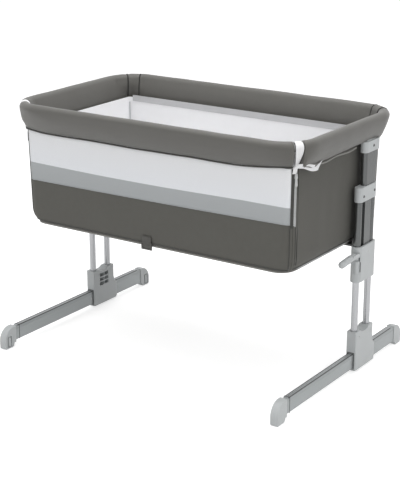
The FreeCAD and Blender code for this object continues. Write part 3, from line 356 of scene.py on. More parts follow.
weaveGroup = makeWeaveGroup()
meshGroup = makeMeshGroup()
mottleGroup = makeMottleGroup()


def newMaterial(name, roughness, metallic=0.0, sheen=0.0, coat=0.0):
    material = bpy.data.materials.new(name)
    material.use_nodes = True
    shader = material.node_tree.nodes["Principled BSDF"]
    shader.inputs["Roughness"].default_value = roughness
    shader.inputs["Metallic"].default_value = metallic
    shader.inputs["Sheen Weight"].default_value = sheen
    shader.inputs["Coat Weight"].default_value = coat
    return material, material.node_tree, shader


def placeGroup(tree, group, vector, values=()):
    node = tree.nodes.new("ShaderNodeGroup")
    node.node_tree = group
    tree.links.new(vector, node.inputs["Vector"])
    for label, value in values:
        node.inputs[label].default_value = value
    return node


def coordinates(tree, kind):
    return tree.nodes.new("ShaderNodeTexCoord").outputs[kind]


def blendColours(tree, factor, first, last):
    mix = tree.nodes.new("ShaderNodeMix")
    mix.data_type = "RGBA"
    tree.links.new(factor, mix.inputs["Factor"])
    for socket, value in ((mix.inputs[6], first), (mix.inputs[7], last)):
        if isinstance(value, tuple):
            socket.default_value = (*value, 1)
        else:
            tree.links.new(value, socket)
    return mix.outputs[2]


def addBump(tree, shader, height, strength, distance):
    bump = tree.nodes.new("ShaderNodeBump")
    bump.inputs["Strength"].default_value = strength
    bump.inputs["Distance"].default_value = distance
    tree.links.new(height, bump.inputs["Height"])
    tree.links.new(bump.outputs[0], shader.inputs["Normal"])


def scaled(colour, factor):
    return tuple(channel * factor for channel in colour)


def wovenCloth(name, colour, threads=900.0, spread=0.16, sheen=0.25, bump=0.35, roughness=0.9):
    material, tree, shader = newMaterial(name, roughness, sheen=sheen)
    shader.inputs["Sheen Roughness"].default_value = 0.5
    cloth = coordinates(tree, "UV")
    weave = placeGroup(tree, weaveGroup, cloth, [("Threads per m", threads)])
    patches = addNoise(tree, coordinates(tree, "Object"), 7.0, 4.0)
    shade = addMath(tree, "ADD", weave.outputs["Shade"], addMath(tree, "MULTIPLY", patches, 0.5))
    colours = blendColours(tree, addMath(tree, "SUBTRACT", shade, 0.35), scaled(colour, 1 - spread),
                           scaled(colour, 1 + spread))
    tree.links.new(colours, shader.inputs["Base Color"])
    addBump(tree, shader, weave.outputs["Height"], bump, 0.0004)
    return material


def meshCloth(name, low, high, fromZ, toZ, openness, openings=420.0):
    material, tree, shader = newMaterial(name, 0.85, sheen=0.2)
    net = placeGroup(tree, meshGroup, coordinates(tree, "UV"), [("Openings per m", openings)])
    split = tree.nodes.new("ShaderNodeSeparateXYZ")
    tree.links.new(coordinates(tree, "Object"), split.inputs[0])
    rise = tree.nodes.new("ShaderNodeMapRange")
    rise.inputs["From Min"].default_value = fromZ
    rise.inputs["From Max"].default_value = toZ
    tree.links.new(split.outputs["Z"], rise.inputs["Value"])
    base = blendColours(tree, rise.outputs[0], low, high)
    through = addMath(tree, "MULTIPLY", net.outputs["Opening"], 0.12)
    dark = blendColours(tree, through, base, (0.3, 0.3, 0.3))
    tree.links.new(dark, shader.inputs["Base Color"])
    alpha = addMath(tree, "SUBTRACT", 1.0, addMath(tree, "MULTIPLY", net.outputs["Opening"], openness))
    tree.links.new(alpha, shader.inputs["Alpha"])
    addBump(tree, shader, net.outputs["Height"], 0.3, 0.0004)
    return material


def mouldedPlastic(name, colour, roughness=0.38, spread=0.07, grain=0.08, coat=0.0):
    material, tree, shader = newMaterial(name, roughness, coat=coat)
    mottle = placeGroup(tree, mottleGroup, coordinates(tree, "Object"),
                        [("Patches", 16.0), ("Grain", 1400.0)])
    colours = blendColours(tree, mottle.outputs["Shade"], scaled(colour, 1 - spread),
                           scaled(colour, 1 + spread))
    tree.links.new(colours, shader.inputs["Base Color"])
    rough = addMath(tree, "ADD", addMath(tree, "MULTIPLY", mottle.outputs["Shade"], 0.14), roughness - 0.07)
    tree.links.new(rough, shader.inputs["Roughness"])
    addBump(tree, shader, mottle.outputs["Height"], grain, 0.0002)
    return material


def drawnMetal(name, colour, roughness=0.32, metallic=1.0, along="Z", spread=0.1, grooveShades=None):
    # drawing lines run along one axis; groove shades are painted shade: dark lines down the grooves, each
    # given by its Y and its half width
    material, tree, shader = newMaterial(name, roughness, metallic=metallic)
    place = coordinates(tree, "Object")
    stretch = tree.nodes.new("ShaderNodeMapping")
    stretch.inputs["Scale"].default_value = tuple(4.0 if axis == along else 700.0 for axis in "XYZ")
    tree.links.new(place, stretch.inputs["Vector"])
    lines = addNoise(tree, stretch.outputs[0], 1.0, 2.0)
    mottle = placeGroup(tree, mottleGroup, place, [("Patches", 9.0), ("Grain", 800.0)])
    shade = addMath(tree, "MULTIPLY", addMath(tree, "ADD", lines, mottle.outputs["Shade"]), 0.5)
    colours = blendColours(tree, shade, scaled(colour, 1 - spread), scaled(colour, 1 + spread))
    if grooveShades:
        split = tree.nodes.new("ShaderNodeSeparateXYZ")
        tree.links.new(place, split.inputs[0])
        for where, half in grooveShades:
            off = addMath(tree, "ABSOLUTE", addMath(tree, "SUBTRACT", split.outputs["Y"], where))
            grooveShadeMask = tree.nodes.new("ShaderNodeMapRange")
            grooveShadeMask.inputs["From Min"].default_value = half * 0.6
            grooveShadeMask.inputs["From Max"].default_value = half * 1.3
            tree.links.new(off, grooveShadeMask.inputs["Value"])
            colours = blendColours(tree, grooveShadeMask.outputs[0], scaled(colour, 0.4), colours)
    tree.links.new(colours, shader.inputs["Base Color"])
    tree.links.new(addMath(tree, "ADD", addMath(tree, "MULTIPLY", lines, 0.2), roughness - 0.1),
                   shader.inputs["Roughness"])
    addBump(tree, shader, lines, 0.06, 0.0002)
    return material


legLow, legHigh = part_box("leg_profile_right")
legY = (legLow.y + legHigh.y) / 2
groove = {"out": 0.0222, "half": 0.0035}  # the grooves down both barrels of the leg's profile, painted dark as their shade
colours = {
    "cover": (0.092, 0.089, 0.080), "panel": (0.090, 0.088, 0.078), "hem": (0.05, 0.05, 0.046),
    "thread": (0.025, 0.025, 0.023), "bindingAndShadow": (0.52, 0.52, 0.53),
    "white": (0.88, 0.88, 0.89), "tape": (0.86, 0.86, 0.87), "mattress": (0.86, 0.86, 0.88),
    "plastic": (0.50, 0.52, 0.525), "black": (0.012, 0.012, 0.012), "dark": (0.115, 0.119, 0.119),
    "bright": (0.36, 0.365, 0.375), "bars": (0.34, 0.36, 0.365), "board": (0.40, 0.29, 0.17),
    "steel": (0.42, 0.42, 0.42), "rail": (0.30, 0.31, 0.31), "piping": (0.24, 0.235, 0.22),
    # screw is near black: partly painted shade of the screw recesses; it also colours painted shade lines in
    # grooves and a slot
    "screw": (0.07, 0.072, 0.072), "buckle": (0.060, 0.058, 0.052), "teeth": (0.56, 0.57, 0.57),
    "window": ((0.86, 0.88, 0.915), (0.89, 0.895, 0.91)), "band": ((0.40, 0.42, 0.43), (0.43, 0.45, 0.46)),
}
materials = {
    "cover": wovenCloth("coverCloth", colours["cover"], threads=1100.0, spread=0.1, sheen=0.22,
                        roughness=0.5),
    "panel": wovenCloth("panelCloth", colours["panel"], threads=900.0, spread=0.12, sheen=0.06,
                        roughness=0.8),
    "hem": wovenCloth("hemPiping", colours["hem"], threads=1400.0, spread=0.1),
    "window": meshCloth("paleMesh", *colours["window"], windowLow, windowHigh, 0.10),
    "band": meshCloth("greyMesh", *colours["band"], bandLow, windowLow, 0.06, 520.0),
    "lining": wovenCloth("whiteLining", colours["white"], threads=1000.0, spread=0.03, sheen=0.1, bump=0.2),
    "tape": wovenCloth("whiteTape", colours["tape"], threads=1600.0, spread=0.03, sheen=0.2, bump=0.25),
    "mattress": wovenCloth("mattressCloth", colours["mattress"], threads=700.0, spread=0.03, bump=0.3),
    "thread": wovenCloth("darkThread", colours["thread"], threads=1600.0, spread=0.1, sheen=0.0),
    "bindingAndShadow": wovenCloth("greyPaintedShadow", colours["bindingAndShadow"], threads=1400.0, spread=0.06),
    "piping": wovenCloth("sewnEdge", colours["piping"], threads=1400.0, spread=0.12, bump=0.5),
    "zip": wovenCloth("zipTape", colours["hem"], threads=1800.0, spread=0.1),
    "plastic": mouldedPlastic("silverPlastic", colours["plastic"]),
    "black": mouldedPlastic("blackPlastic", colours["black"], roughness=0.5),
    "dark": drawnMetal("darkTube", colours["dark"], metallic=0.75, roughness=0.27, spread=0.12),
    "profile": drawnMetal("darkProfile", colours["dark"], metallic=0.75, roughness=0.27, spread=0.12,
                          grooveShades=[(legY + out, groove["half"]) for out in (-groove["out"], groove["out"])]),
    "bright": drawnMetal("brightTube", colours["bright"], roughness=0.28, spread=0.06),
    "bars": drawnMetal("footBar", colours["bars"], metallic=0.35, roughness=0.34, along="Y", spread=0.06),
    "steel": drawnMetal("plainSteel", colours["steel"], roughness=0.3),
    "rail": mouldedPlastic("railPaint", colours["rail"], roughness=0.42, spread=0.05),
    "bracket": mouldedPlastic("blackPaint", colours["black"], roughness=0.32, coat=0.2),
    "board": mouldedPlastic("fibreboard", colours["board"], roughness=0.75, spread=0.2, grain=0.4),
    "teeth": mouldedPlastic("zipTeeth", colours["teeth"], roughness=0.4),
    "screw": mouldedPlastic("screwHeadsAndShade", colours["screw"], roughness=0.35),
    "buckle": mouldedPlastic("buckleNylon", colours["buckle"], roughness=0.5),
}
print("materials ready:", len(materials))


def dress(piece, material):
    if not piece.material_slots:
        piece.data.materials.append(materials[material])
    for place in piece.material_slots:
        place.material = materials[material]


nodeFinish = {
    "black": ["corner_joint_left", "corner_joint_right", "lock_slide_left", "lock_slide_right"],
    "buckle": ["strap_buckle"],
    # the screw heads' near black is painted shade of their recesses
    "screw": ["bracket_screws"],
    "rail": ["back_rail_tube", "left_rail_tube", "right_rail_tube", "drop_rail_tube", "floor_frame"],
    "board": ["mattress_board"],
}
sideFinish = {  # nodes that each side has one of
    "steel": ["lever_pivot", "foot_button"],
    "profile": ["leg_profile"],
    "dark": ["upper_tube"],
    "bright": ["leg_tubes"],
    "bars": ["foot_rear_bar", "foot_front_bar"],
    "bracket": ["lower_bracket"],
    "plastic": ["height_housing", "release_lever", "mid_bracket", "top_bracket", "leg_socket",
                "foot_cap_front", "foot_cap_rear"],
}
for finish, names in nodeFinish.items():
    for name in names:
        dress(nodes[name], finish)
for finish, names in sideFinish.items():
    for name in names:
        for side in sides:
            dress(nodes[f"{name}_{side}"], finish)


def finishPiece(piece, finish, body="tub"):
    shadeSmooth(piece)
    dress(piece, finish)
    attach(piece, body)


# A round raised line through the points: seams, piping, beads and bars.
def cordPiece(name, points, radius, finish, body="tub"):
    curve = bpy.data.curves.new(name, "CURVE")
    curve.dimensions = "3D"
    curve.bevel_depth = radius
    curve.bevel_resolution = 2
    curve.use_fill_caps = True
    line = curve.splines.new("POLY")
    line.points.add(len(points) - 1)
    for point, place in zip(line.points, points):
        point.co = (*place, 1)
    shown = newPiece(name + "Curve", curve)
    mesh = bpy.data.meshes.new_from_object(shown.evaluated_get(bpy.context.evaluated_depsgraph_get()))
    bpy.data.objects.remove(shown)
    piece = newPiece(name, mesh)
    finishPiece(piece, finish, body)
    return piece


# Padded rail covers.

# The lifts are (height, reach) of the drop side's hem at its ends; waves, slack and pucker are (height, pace).
cover = {"crown": 0.0158, "hemInset": 0.0205, "hemThick": 0.0045, "drop": 0.064, "innerDrop": 0.057,
         "bulge": 0.0035, "rightLift": (0.014, 0.30), "leftLift": (0.005, 0.15), "overlap": 1.3,
         "sideHem": -0.001, "sideDrop": 0.050, "capMove": 0.004, "corner": 0.020,
         "seam": 71.0, "stitch": 42.0, "stitchDepth": 0.0026, "stitchWidth": 0.004,
         "unevenWave": (0.0018, 9), "evenWave": (0.001, 21), "longSlack": (0.0009, 14),
         "pucker": (0.0012, 30), "sag": 0.002, "hemTapeAndShadowRadius": 0.0022, "hemTapeAndShadowDrop": 0.0012,
         "pressure": 3.0, "fill": 0.45, "stitchRadius": 0.0020, "seamRadius": 0.0013,
         "held": [*range(2, 11), 20, 21, 22]}  # points of the profile that stay: the crown and the hems


def coverProfile(outerHem, outerDrop, flare=lambda run: 0.0):
    crown, drop = cover["crown"], cover["drop"]
    innerHem = -cover["hemInset"] - cover["hemThick"]

    def pairs(run, outward):
        lift = flare(run)
        behind = ease(outward.y / 0.5)  # round the back bend a side cover turns into the back's
        hem = outerHem + (-cover["hemInset"] - outerHem) * behind
        low = outerDrop + (drop - outerDrop) * behind
        spread = tightOut(outward, cover["hemInset"], cover["corner"]) + cover["hemInset"]
        turns = [math.radians(t) for t in range(0, 181, 15)]
        shape = [(crown * math.cos(turn), crown * math.sin(turn)) for turn in turns]
        for k in range(1, 9):  # inner face, falling inboard to the hem
            t = k / 8
            fall = -crown + (innerHem + crown) * t - cover["bulge"] * math.sin(math.pi * t)
            shape.append((fall + spread * ease(t), -cover["innerDrop"] * t))
        hemOut = hem + spread
        middle = -(cover["innerDrop"] + low) / 2 - cover["sag"]
        shape.append(((innerHem + spread + hemOut) / 2, middle + lift))
        for k in range(8):  # outer face, back up to the crown
            t = 1 - k / 8
            fall = crown + (hemOut - crown) * t + cover["bulge"] * math.sin(math.pi * t)
            shape.append((fall, -low * t + lift * t * t))
        return [(out, railZ + height) for out, height in shape]

    return pairs


def stitched(place):  # how near a point lies to a seam sewn across the cover in a back bend
    corner = Vector((math.copysign(cornerX, place.x), cornerY, 0))
    if place.y < cornerY or abs(place.x) < cornerX:
        return 0.0
    turn = math.degrees(math.atan2(place.y - corner.y, abs(place.x) - cornerX))
    return math.exp(-(math.radians(turn - cover["stitch"]) * bend / cover["stitchWidth"]) ** 2)


def endLift(distance, length):  # the drop side's hem rises towards its ends
    ends = ((distance, *cover["rightLift"]), (length - distance, *cover["leftLift"]))
    return sum(lift * clamp(1 - where / reach) ** 2 for where, lift, reach in ends)


def makeCover(name, part, end, outerHem, outerDrop, body, seed):
    wraps = {"front": 0.0, "back": cover["seam"] - cover["overlap"]}
    run = ringRun(part, end, 0.0075, wraps.get(part, cover["seam"] + cover["overlap"]))
    length = run[-1][2]

    def hemWave(distance):
        (uneven, pace), (even, beat) = cover["unevenWave"], cover["evenWave"]
        wave = uneven * noise.noise(Vector((distance * pace, seed, 0)))
        wave = wave + even * math.sin(distance * beat + seed)
        return wave + (endLift(distance, length) if part == "front" else 0.0)

    piece = sweptSkin(name, run, coverProfile(outerHem, outerDrop, hemWave), loop=True)
    wide = len(coverProfile(outerHem, outerDrop)(0, run[0][1]))
    held = [i * wide + j for i in range(len(run)) for j in cover["held"]]
    held += range(len(run) * wide, len(piece.data.vertices))  # the middles of the closed ends
    puff(piece, held, pressure=cover["pressure"], cap=cover["capMove"])

    def ripple(place, normal):  # slack in the cloth: long soft waves, shorter puckers at the bends
        height = clamp((railZ - place.z) / cover["drop"])
        inBend = clamp((abs(place.x) - cornerX) / bend) * clamp((abs(place.y) - cornerY) / bend)
        (slack, slow), (pucker, quick) = cover["longSlack"], cover["pucker"]
        rise = slack * sway(place, slow, seed)
        rise = rise + pucker * height * sway(place, quick, seed + 3) * (0.4 + 2 * inBend)
        return normal * (rise - cover["stitchDepth"] * stitched(place))

    moveVertices(piece, ripple)
    subdivide(piece)
    applyAll(piece)
    shadeSmooth(piece)
    dress(piece, "cover")
    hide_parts(name.replace("Pad", ""))
    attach(piece, body)
    print("cover:", name, "run", round(length, 3))
    if part == "front":  # its hem is bound in dark tape; the dark cord also stands in as painted shadow under the hem
        points = []
        for place, outward, distance in run:
            out = tightOut(outward, cover["hemInset"], cover["corner"])
            height = railZ - outerDrop + hemWave(distance) - cover["hemTapeAndShadowDrop"]
            points.append(place + outward * out + up * height)
        cordPiece("dropSideHemAndShadow", points, cover["hemTapeAndShadowRadius"], "hem", body)
    return piece


def sewAcross(name, side, pad, angle, radius):  # the seam follows the pad's real surface over the crown
    turn = math.radians(angle)
    outward = Vector((sides[side] * math.cos(turn), math.sin(turn), 0))
    spot = Vector((sides[side] * cornerX, cornerY, 0)) + outward * bend
    points = []
    for out, height in coverProfile(-cover["hemInset"], cover["drop"])(0, outward)[:20]:
        found, place, normal, face = pad.closest_point_on_mesh(spot + outward * out + up * height)
        points.append(place + normal * 0.0002)
    cordPiece(name, points, radius, "thread")


margin = degreesOf(0.0005)
makeCover("drop_rail_coverPad", "front", frontEnd + margin, -cover["hemInset"], cover["drop"],
          "drop_side", 1.3)
makeCover("back_rail_coverPad", "back", 0.0, -cover["hemInset"], cover["drop"], "tub", 5.1)
for side in sides:
    pad = makeCover(f"{side}_rail_coverPad", side, sideEnd - margin, -cover["sideHem"], cover["sideDrop"],
                    "tub", 8.7 * sides[side])
    sewAcross(f"{side}CoverSeam", side, pad, cover["stitch"], cover["stitchRadius"])
    sewAcross(f"{side}CoverEndSeam", side, pad, cover["seam"] - 1, cover["seamRadius"])


# Fabric walls of the tub, hung inside the rail ring.

# "corner" is the radius at the foot and at the rail; the tuck is how far the foot rolls in.
wall = {"thickness": 0.0016, "tuck": 0.009, "tuckRise": 0.022, "sideTuck": 0.022, "sideRise": 0.038,
        "corner": (0.030, 0.014), "cornerTuck": 0.016, "top": 0.016, "frontTop": 0.020}
lining = {"corner": 0.005, "inset": 0.0100, "top": 0.014, "proud": 0.002, "seam": 0.0012, "seamIn": 0.0028}


def liningOut(outward, inset, height):
    return tightOut(outward, inset, lining["corner"])


def wallOut(outward, inset, height):  # the corner is tightest at the rail, and rolls in at its foot
    share = clamp((height - floorZ) / (windowHigh - floorZ))
    low, high = wall["corner"]
    out = tightOut(outward, inset, low + (high - low) * share)
    swell = out + inset
    lean = outward.x ** 2
    rise = wall["tuckRise"] + (wall["sideRise"] - wall["tuckRise"]) * lean
    roll = clamp(1 - (height - floorZ) / (rise * (1 + 30 * swell)))
    tuck = wall["tuck"] + (wall["sideTuck"] - wall["tuck"]) * lean
    tuck = tuck + wall["cornerTuck"] * clamp(swell / 0.014)
    return out - tuck * (1 - math.sqrt(1 - roll * roll))


def wallPanel(name, run, low, high, inset, replaced, finish, folds, rows=18, reach=wallOut):
    def pairs(distance, outward):
        heights = [low + (high - low) * k / rows for k in range(rows + 1)]
        return [(reach(outward, inset, height), height) for height in heights]

    piece = sweptSkin(name, run, pairs)
    faceOutward(piece)
    if folds:
        moveVertices(piece, folds)
    solidify(piece, wall["thickness"])
    applyAll(piece)
    shadeSmooth(piece)
    dress(piece, finish)
    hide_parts(replaced)
    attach(piece, "tub")
    return piece


# Shallow folds in taut cloth: broad slanting ones and finer upright ones, strongest half way up.
def tautFolds(strength, seed, sink=0.2):
    def shift(place, normal):
        height = clamp((place.z - floorZ) / (windowHigh - floorZ))
        belly = math.sin(math.pi * height)
        broad = sway((place.x, place.y + 0.7 * place.z, 0.4 * place.z), 6, seed)
        fine = sway((place.x, place.y, place.z * 0.3), 22, seed + 2)
        return normal * (strength * belly * (0.5 * (broad * 0.6 + fine * 0.4) - sink))
    return shift


# The two edges of the grey band aren't quite level: the lower one rises by "foot" (at the left, and what is
# added by the right), the upper one dips, and the cloth follows each within "reach".
band = {"foot": (0.0025, 0.0065), "dip": 0.0045, "dipEnd": 0.85, "reach": 0.05, "piping": 0.0010}


def bandRise(place):
    along = clamp((place.x + cornerX + bend / 2) / (2 * cornerX + bend))
    low, more = band["foot"]
    foot = (low + more * along ** 2) * clamp(1 - abs(place.z - bandLow) / band["reach"])
    dip = band["dip"] * math.sin(math.pi * clamp(along / band["dipEnd"]))
    return up * (foot - dip * clamp(1 - abs(place.z - windowLow) / band["reach"]))


def frontFolds(place, normal):
    return tautFolds(0.0025, 2.2)(place, normal) + bandRise(place)


frontRun = ringRun("front", joint["angle"] + zipSpread)


def foldWithSide(piece):
    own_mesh(piece)


wallPanel("lowerFrontCloth", frontRun, floorZ, bandLow, panelInset, "front_lower_panel", "panel",
          frontFolds)
foldWithSide(wallPanel("meshBandCloth", frontRun, bandLow, windowLow, panelInset, "front_mesh_band", "band",
                       frontFolds, rows=8))
foldWithSide(wallPanel("meshWindowCloth", frontRun, windowLow, windowHigh + wall["frontTop"], panelInset,
                       "front_mesh_window", "window", frontFolds, rows=12))
for side in sides:
    wallPanel(f"{side}SideCloth", ringRun(side, joint["angle"] - zipSpread), floorZ,
              windowHigh + wall["top"], panelInset, f"{side}_side_panel", "panel",
              tautFolds(0.009, 6.4 * sides[side], 0.0), rows=34)
wallPanel("backCloth", ringRun("back"), floorZ, windowHigh + wall["top"], panelInset, "back_panel",
          "panel", tautFolds(0.004, 9.9), rows=34)
print("walls ready")

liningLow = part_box("inner_lining")[0].z
liningInset = panelInset + lining["inset"]
rightEnd = ringRun("right", joint["angle"] - zipSpread)
leftEnd = ringRun("left", joint["angle"] - zipSpread)
leftLength = leftEnd[-1][2]
leftReversed = [(place, outward, leftLength - distance) for place, outward, distance in reversed(leftEnd)]
liningRun = joinRuns(rightEnd, ringRun("back"), leftReversed)
wallPanel("whiteLining", liningRun, liningLow, windowHigh + lining["top"], liningInset - lining["proud"],
          "inner_lining", "lining", None, rows=24, reach=liningOut)


# A grey strip along the top of the lining, just seen under the back cover: painted shadow of the cover on the
# lining.
bindingAndShadow = {"in": 0.0010, "heights": (-0.005, 0.004, 0.013), "thickness": 0.0008, "facing": 0.75}


def paintedLiningShadow():
    hem = railZ - cover["innerDrop"]

    def pairs(distance, outward):
        out = liningOut(outward, liningInset, 0) - bindingAndShadow["in"]
        return [(out, hem + height) for height in bindingAndShadow["heights"]]

    run = [spot for spot in ringRun("back") if spot[1].y > bindingAndShadow["facing"]]  # the back wall only
    piece = sweptSkin("paintedLiningShadow", run, pairs)
    solidify(piece, bindingAndShadow["thickness"], 0.0)
    applyAll(piece)
    finishPiece(piece, "bindingAndShadow")


paintedLiningShadow()
for side in sides:  # seams down the back corners of the lining, grey as painted shade of the corner folds
    turn = math.radians(45)
    outward = Vector((sides[side] * math.cos(turn), math.sin(turn), 0))
    reach = bend + liningOut(outward, liningInset, 0) - lining["seamIn"]
    foot = Vector((sides[side] * cornerX, cornerY, 0)) + outward * reach
    cordPiece(f"{side}LiningSeamShade", [foot + up * liningLow, foot + up * windowHigh], lining["seam"], "band")


def sewnPiping(name, run, out, height, radius, finish="hem", body="tub"):
    points = [place + outward * (wallOut(outward, panelInset, height) + out) + up * height
              for place, outward, distance in run]
    return cordPiece(name, points, radius, finish, body)


# The bottom edge: a lighter sewn edge with a dark seam above it; the front's band has a piping too.
edges = {"seam": 0.0105, "seamRadius": 0.0013, "edge": 0.0030, "edgeRadius": 0.0026}
hemRuns = {"front": frontRun, "back": ringRun("back"), "right": ringRun("right", joint["angle"] + zipSpread),
           "left": ringRun("left", joint["angle"] + zipSpread)}
for part, run in hemRuns.items():
    sewnPiping(f"{part}HemSeam", run, 0.0004, floorZ + edges["seam"], edges["seamRadius"])
    sewnPiping(f"{part}HemEdge", run, 0.0006, floorZ + edges["edge"], edges["edgeRadius"], finish="piping")
bandPiping = sewnPiping("bandPiping", frontRun, 0.0002, bandLow, band["piping"], finish="band")
moveVertices(bandPiping, lambda place, normal: bandRise(place))


# The loose hem of a side cover, seen as a wavy lighter edge under it: the lighter colour is a painted
# highlight along the hem.
coverEdge = {"from": 12.0, "to": 0.04, "step": 0.006, "wave": (0.0022, 55), "sway": (0.0030, 24),
             "flare": 0.4, "out": 0.0005, "below": 0.004, "radius": 0.0022}


def sideCoverHemHighlight(side):
    run = []
    (high, beat), (rise, pace) = coverEdge["wave"], coverEdge["sway"]
    for place, outward, distance in ringRun(side, coverEdge["from"], coverEdge["step"]):
        wave = high * math.sin(distance * beat + 1.0) + rise * sway(place, pace, 3.0)
        run.append((place + up * wave + outward * coverEdge["flare"] * wave, outward, distance))
    start, end = 2, sum(1 for place, outward, distance in run if place.y < coverEdge["to"])
    out = panelInset - cover["sideHem"] + coverEdge["out"]
    sewnPiping(f"{side}CoverEdge", run[start:end], out, railZ - cover["sideDrop"] - coverEdge["below"],
               coverEdge["radius"], finish="piping")


for side in sides:
    sideCoverHemHighlight(side)
print("hems ready")


# The floor cloth: rings from the foot of the walls to the middle.

floorSheet = {"rings": 12, "step": 0.02, "out": 0.0005, "above": 0.0015, "sag": 0.003, "ripple": 0.0006}


def makeFloorCloth():
    front, back, step = ringRun("front"), ringRun("back"), floorSheet["step"]
    rim = [spot[:2] for spot in front] + between(front[-1], back[-1], step)
    rim += [spot[:2] for spot in reversed(back)] + between(back[0], front[0], step)
    rim = [place + outward * (wallOut(outward, panelInset, floorZ) + floorSheet["out"])
           for place, outward in rim]
    rings, middle = floorSheet["rings"], floorZ + floorSheet["above"]
    work = bmesh.new()
    uv = work.loops.layers.uv.new("cloth")
    grid = []
    for k in range(rings):
        share = 1 - k / rings
        level = middle - floorSheet["sag"] * ease(2 * (1 - share))
        ring = []
        for place in rim:
            x, y = place.x * share, place.y * share
            ring.append(work.verts.new((x, y, level + floorSheet["ripple"] * sway((x, y, 0), 12, 4.0))))
        grid.append(ring)
    centre = work.verts.new((0, 0, middle - floorSheet["sag"]))
    for j in range(len(rim)):
        for k in range(rings - 1):
            m = (j + 1) % len(rim)
            work.faces.new((grid[k][j], grid[k + 1][j], grid[k + 1][m], grid[k][m]))
        work.faces.new((grid[-1][j], centre, grid[-1][(j + 1) % len(rim)]))
    for face in work.faces:
        for corner in face.loops:
            corner[uv].uv = corner.vert.co.xy
    work.normal_update()
    if sum(face.normal.z for face in work.faces) < 0:
        bmesh.ops.reverse_faces(work, faces=work.faces)
    piece = pieceFrom(work, "floorCloth")
    solidify(piece, wall["thickness"], 1.0)
    applyAll(piece)
    shadeSmooth(piece)
    dress(piece, "panel")
    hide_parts("floor_panel")
    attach(piece, "tub")


makeFloorCloth()


# The mattress: its solid is remeshed and puffed, then the quilting is sewn in.

mattress = {"voxel": 0.006, "cap": 0.006, "shrink": 0.004, "channels": 5, "stitch": 0.0035, "width": 0.006,
            "coarse": 0.012, "pressure": 4.0, "fill": 0.8,
            "foot": 0.008, "swell": 0.002, "edge": 0.06, "seamDepth": 0.002, "seamUnit": 0.004,
            "seams": (-4, 3)}  # the seams round its side, in units from mid height


def makeMattress():
    low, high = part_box("mattress")
    piece = newPiece("mattressPad", nodes["mattress"].data.copy())
    onlySelect(piece)
    bpy.ops.object.mode_set(mode="EDIT")
    bpy.ops.mesh.select_all(action="SELECT")
    bpy.ops.mesh.remove_doubles(threshold=0.0001)
    bpy.ops.object.mode_set(mode="OBJECT")
    centre = (low + high) / 2
    half = (high - low) / 2
    for vertex in piece.data.vertices:
        for axis in range(2):
            vertex.co[axis] *= 1 - mattress["shrink"] / half[axis]
        vertex.co.z = centre.z + (vertex.co.z - centre.z) * (1 - mattress["shrink"] / 2 / half.z)
    remesh = piece.modifiers.new("remesh", "REMESH")
    remesh.mode = "VOXEL"
    remesh.voxel_size = mattress["voxel"]
    applyAll(piece)
    held = [v.index for v in piece.data.vertices if v.co.z < low.z + mattress["foot"]]
    puff(piece, held, pressure=mattress["pressure"], cap=mattress["cap"])

    def sew(place, normal):
        move = Vector()
        if normal.z > 0.5:
            for k in range(1, mattress["channels"]):
                line = -half.x + 2 * half.x * k / mattress["channels"]
                move.z -= mattress["stitch"] * math.exp(-((place.x - line) / mattress["width"]) ** 2)
            edge = min(half.x - abs(place.x), half.y - abs(place.y))
            move.z += mattress["swell"] * ease(edge / mattress["edge"]) * sway(place, 16, 2.0)
        elif abs(normal.z) < 0.5:
            height = (place.z - centre.z) / mattress["seamUnit"]
            for seam in mattress["seams"]:
                move -= normal * mattress["seamDepth"] * math.exp(-(height - seam) ** 2)
        return move

    moveVertices(piece, sew)
    uv = piece.data.uv_layers.new(name="cloth")
    for corner in piece.data.loops:
        place = piece.data.vertices[corner.vertex_index].co
        uv.data[corner.index].uv = (place.x + place.z, place.y + place.z)
    shadeSmooth(piece)
    dress(piece, "mattress")
    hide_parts("mattress")
    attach(piece, "tub")


makeMattress()
print("mattress ready")


# Zips at the front corners.

zipper = {"pitch": 0.0022, "tooth": (0.0062, 0.0022, 0.0015), "proud": 0.0012, "split": 0.9,
          "seam": 0.0014, "seamStep": 6.0, "end": 0.001, "top": 0.012, "tape": 0.0012,
          "flap": (-2, 3), "flapProud": 0.0016, "flapRise": 0.006, "bindingProud": 0.0008,
          "teethFoot": 0.004, "teethHead": 0.002, "slider": 0.02, "sliderProud": 0.002}


def cornerFrame(side, angle):
    turn = math.radians(-90 + sides[side] * (90 - angle))
    outward = Vector((math.cos(turn), math.sin(turn), 0))
    centre = Vector((sides[side] * cornerX, -cornerY, 0))
    return centre, outward, outward.cross(up) * sides[side]


def wallSpot(side, angle, height, proud=0.0):
    centre, outward, across = cornerFrame(side, angle)
    return centre + outward * (bend + wallOut(outward, panelInset, height) + proud) + up * height


# A strip of tape up the corner, between two angles of the bend.
def uprightTape(name, side, first, last, low, high, proud, finish, body="tub"):
    columns, rows = 4, 24
    work = bmesh.new()
    uv = work.loops.layers.uv.new("cloth")
    grid = []
    for i in range(rows + 1):
        height = low + (high - low) * i / rows
        angles = [first + (last - first) * j / columns for j in range(columns + 1)]
        grid.append([work.verts.new(wallSpot(side, angle, height, proud)) for angle in angles])
    for i in range(rows):
        for j in range(columns):
            face = work.faces.new((grid[i][j], grid[i][j + 1], grid[i + 1][j + 1], grid[i + 1][j]))
            for corner in face.loops:
                corner[uv].uv = (j * 0.002, corner.vert.co.z)
    piece = pieceFrom(work, name)
    solidify(piece, zipper["tape"], 0.0)
    applyAll(piece)
    finishPiece(piece, finish, body)
    return piece


def uprightSeam(name, side, angle, low, high):
    count = 12
    points = [wallSpot(side, angle, low + (high - low) * k / count, 0.0004) for k in range(count + 1)]
    cordPiece(name, points, zipper["seam"], "hem")


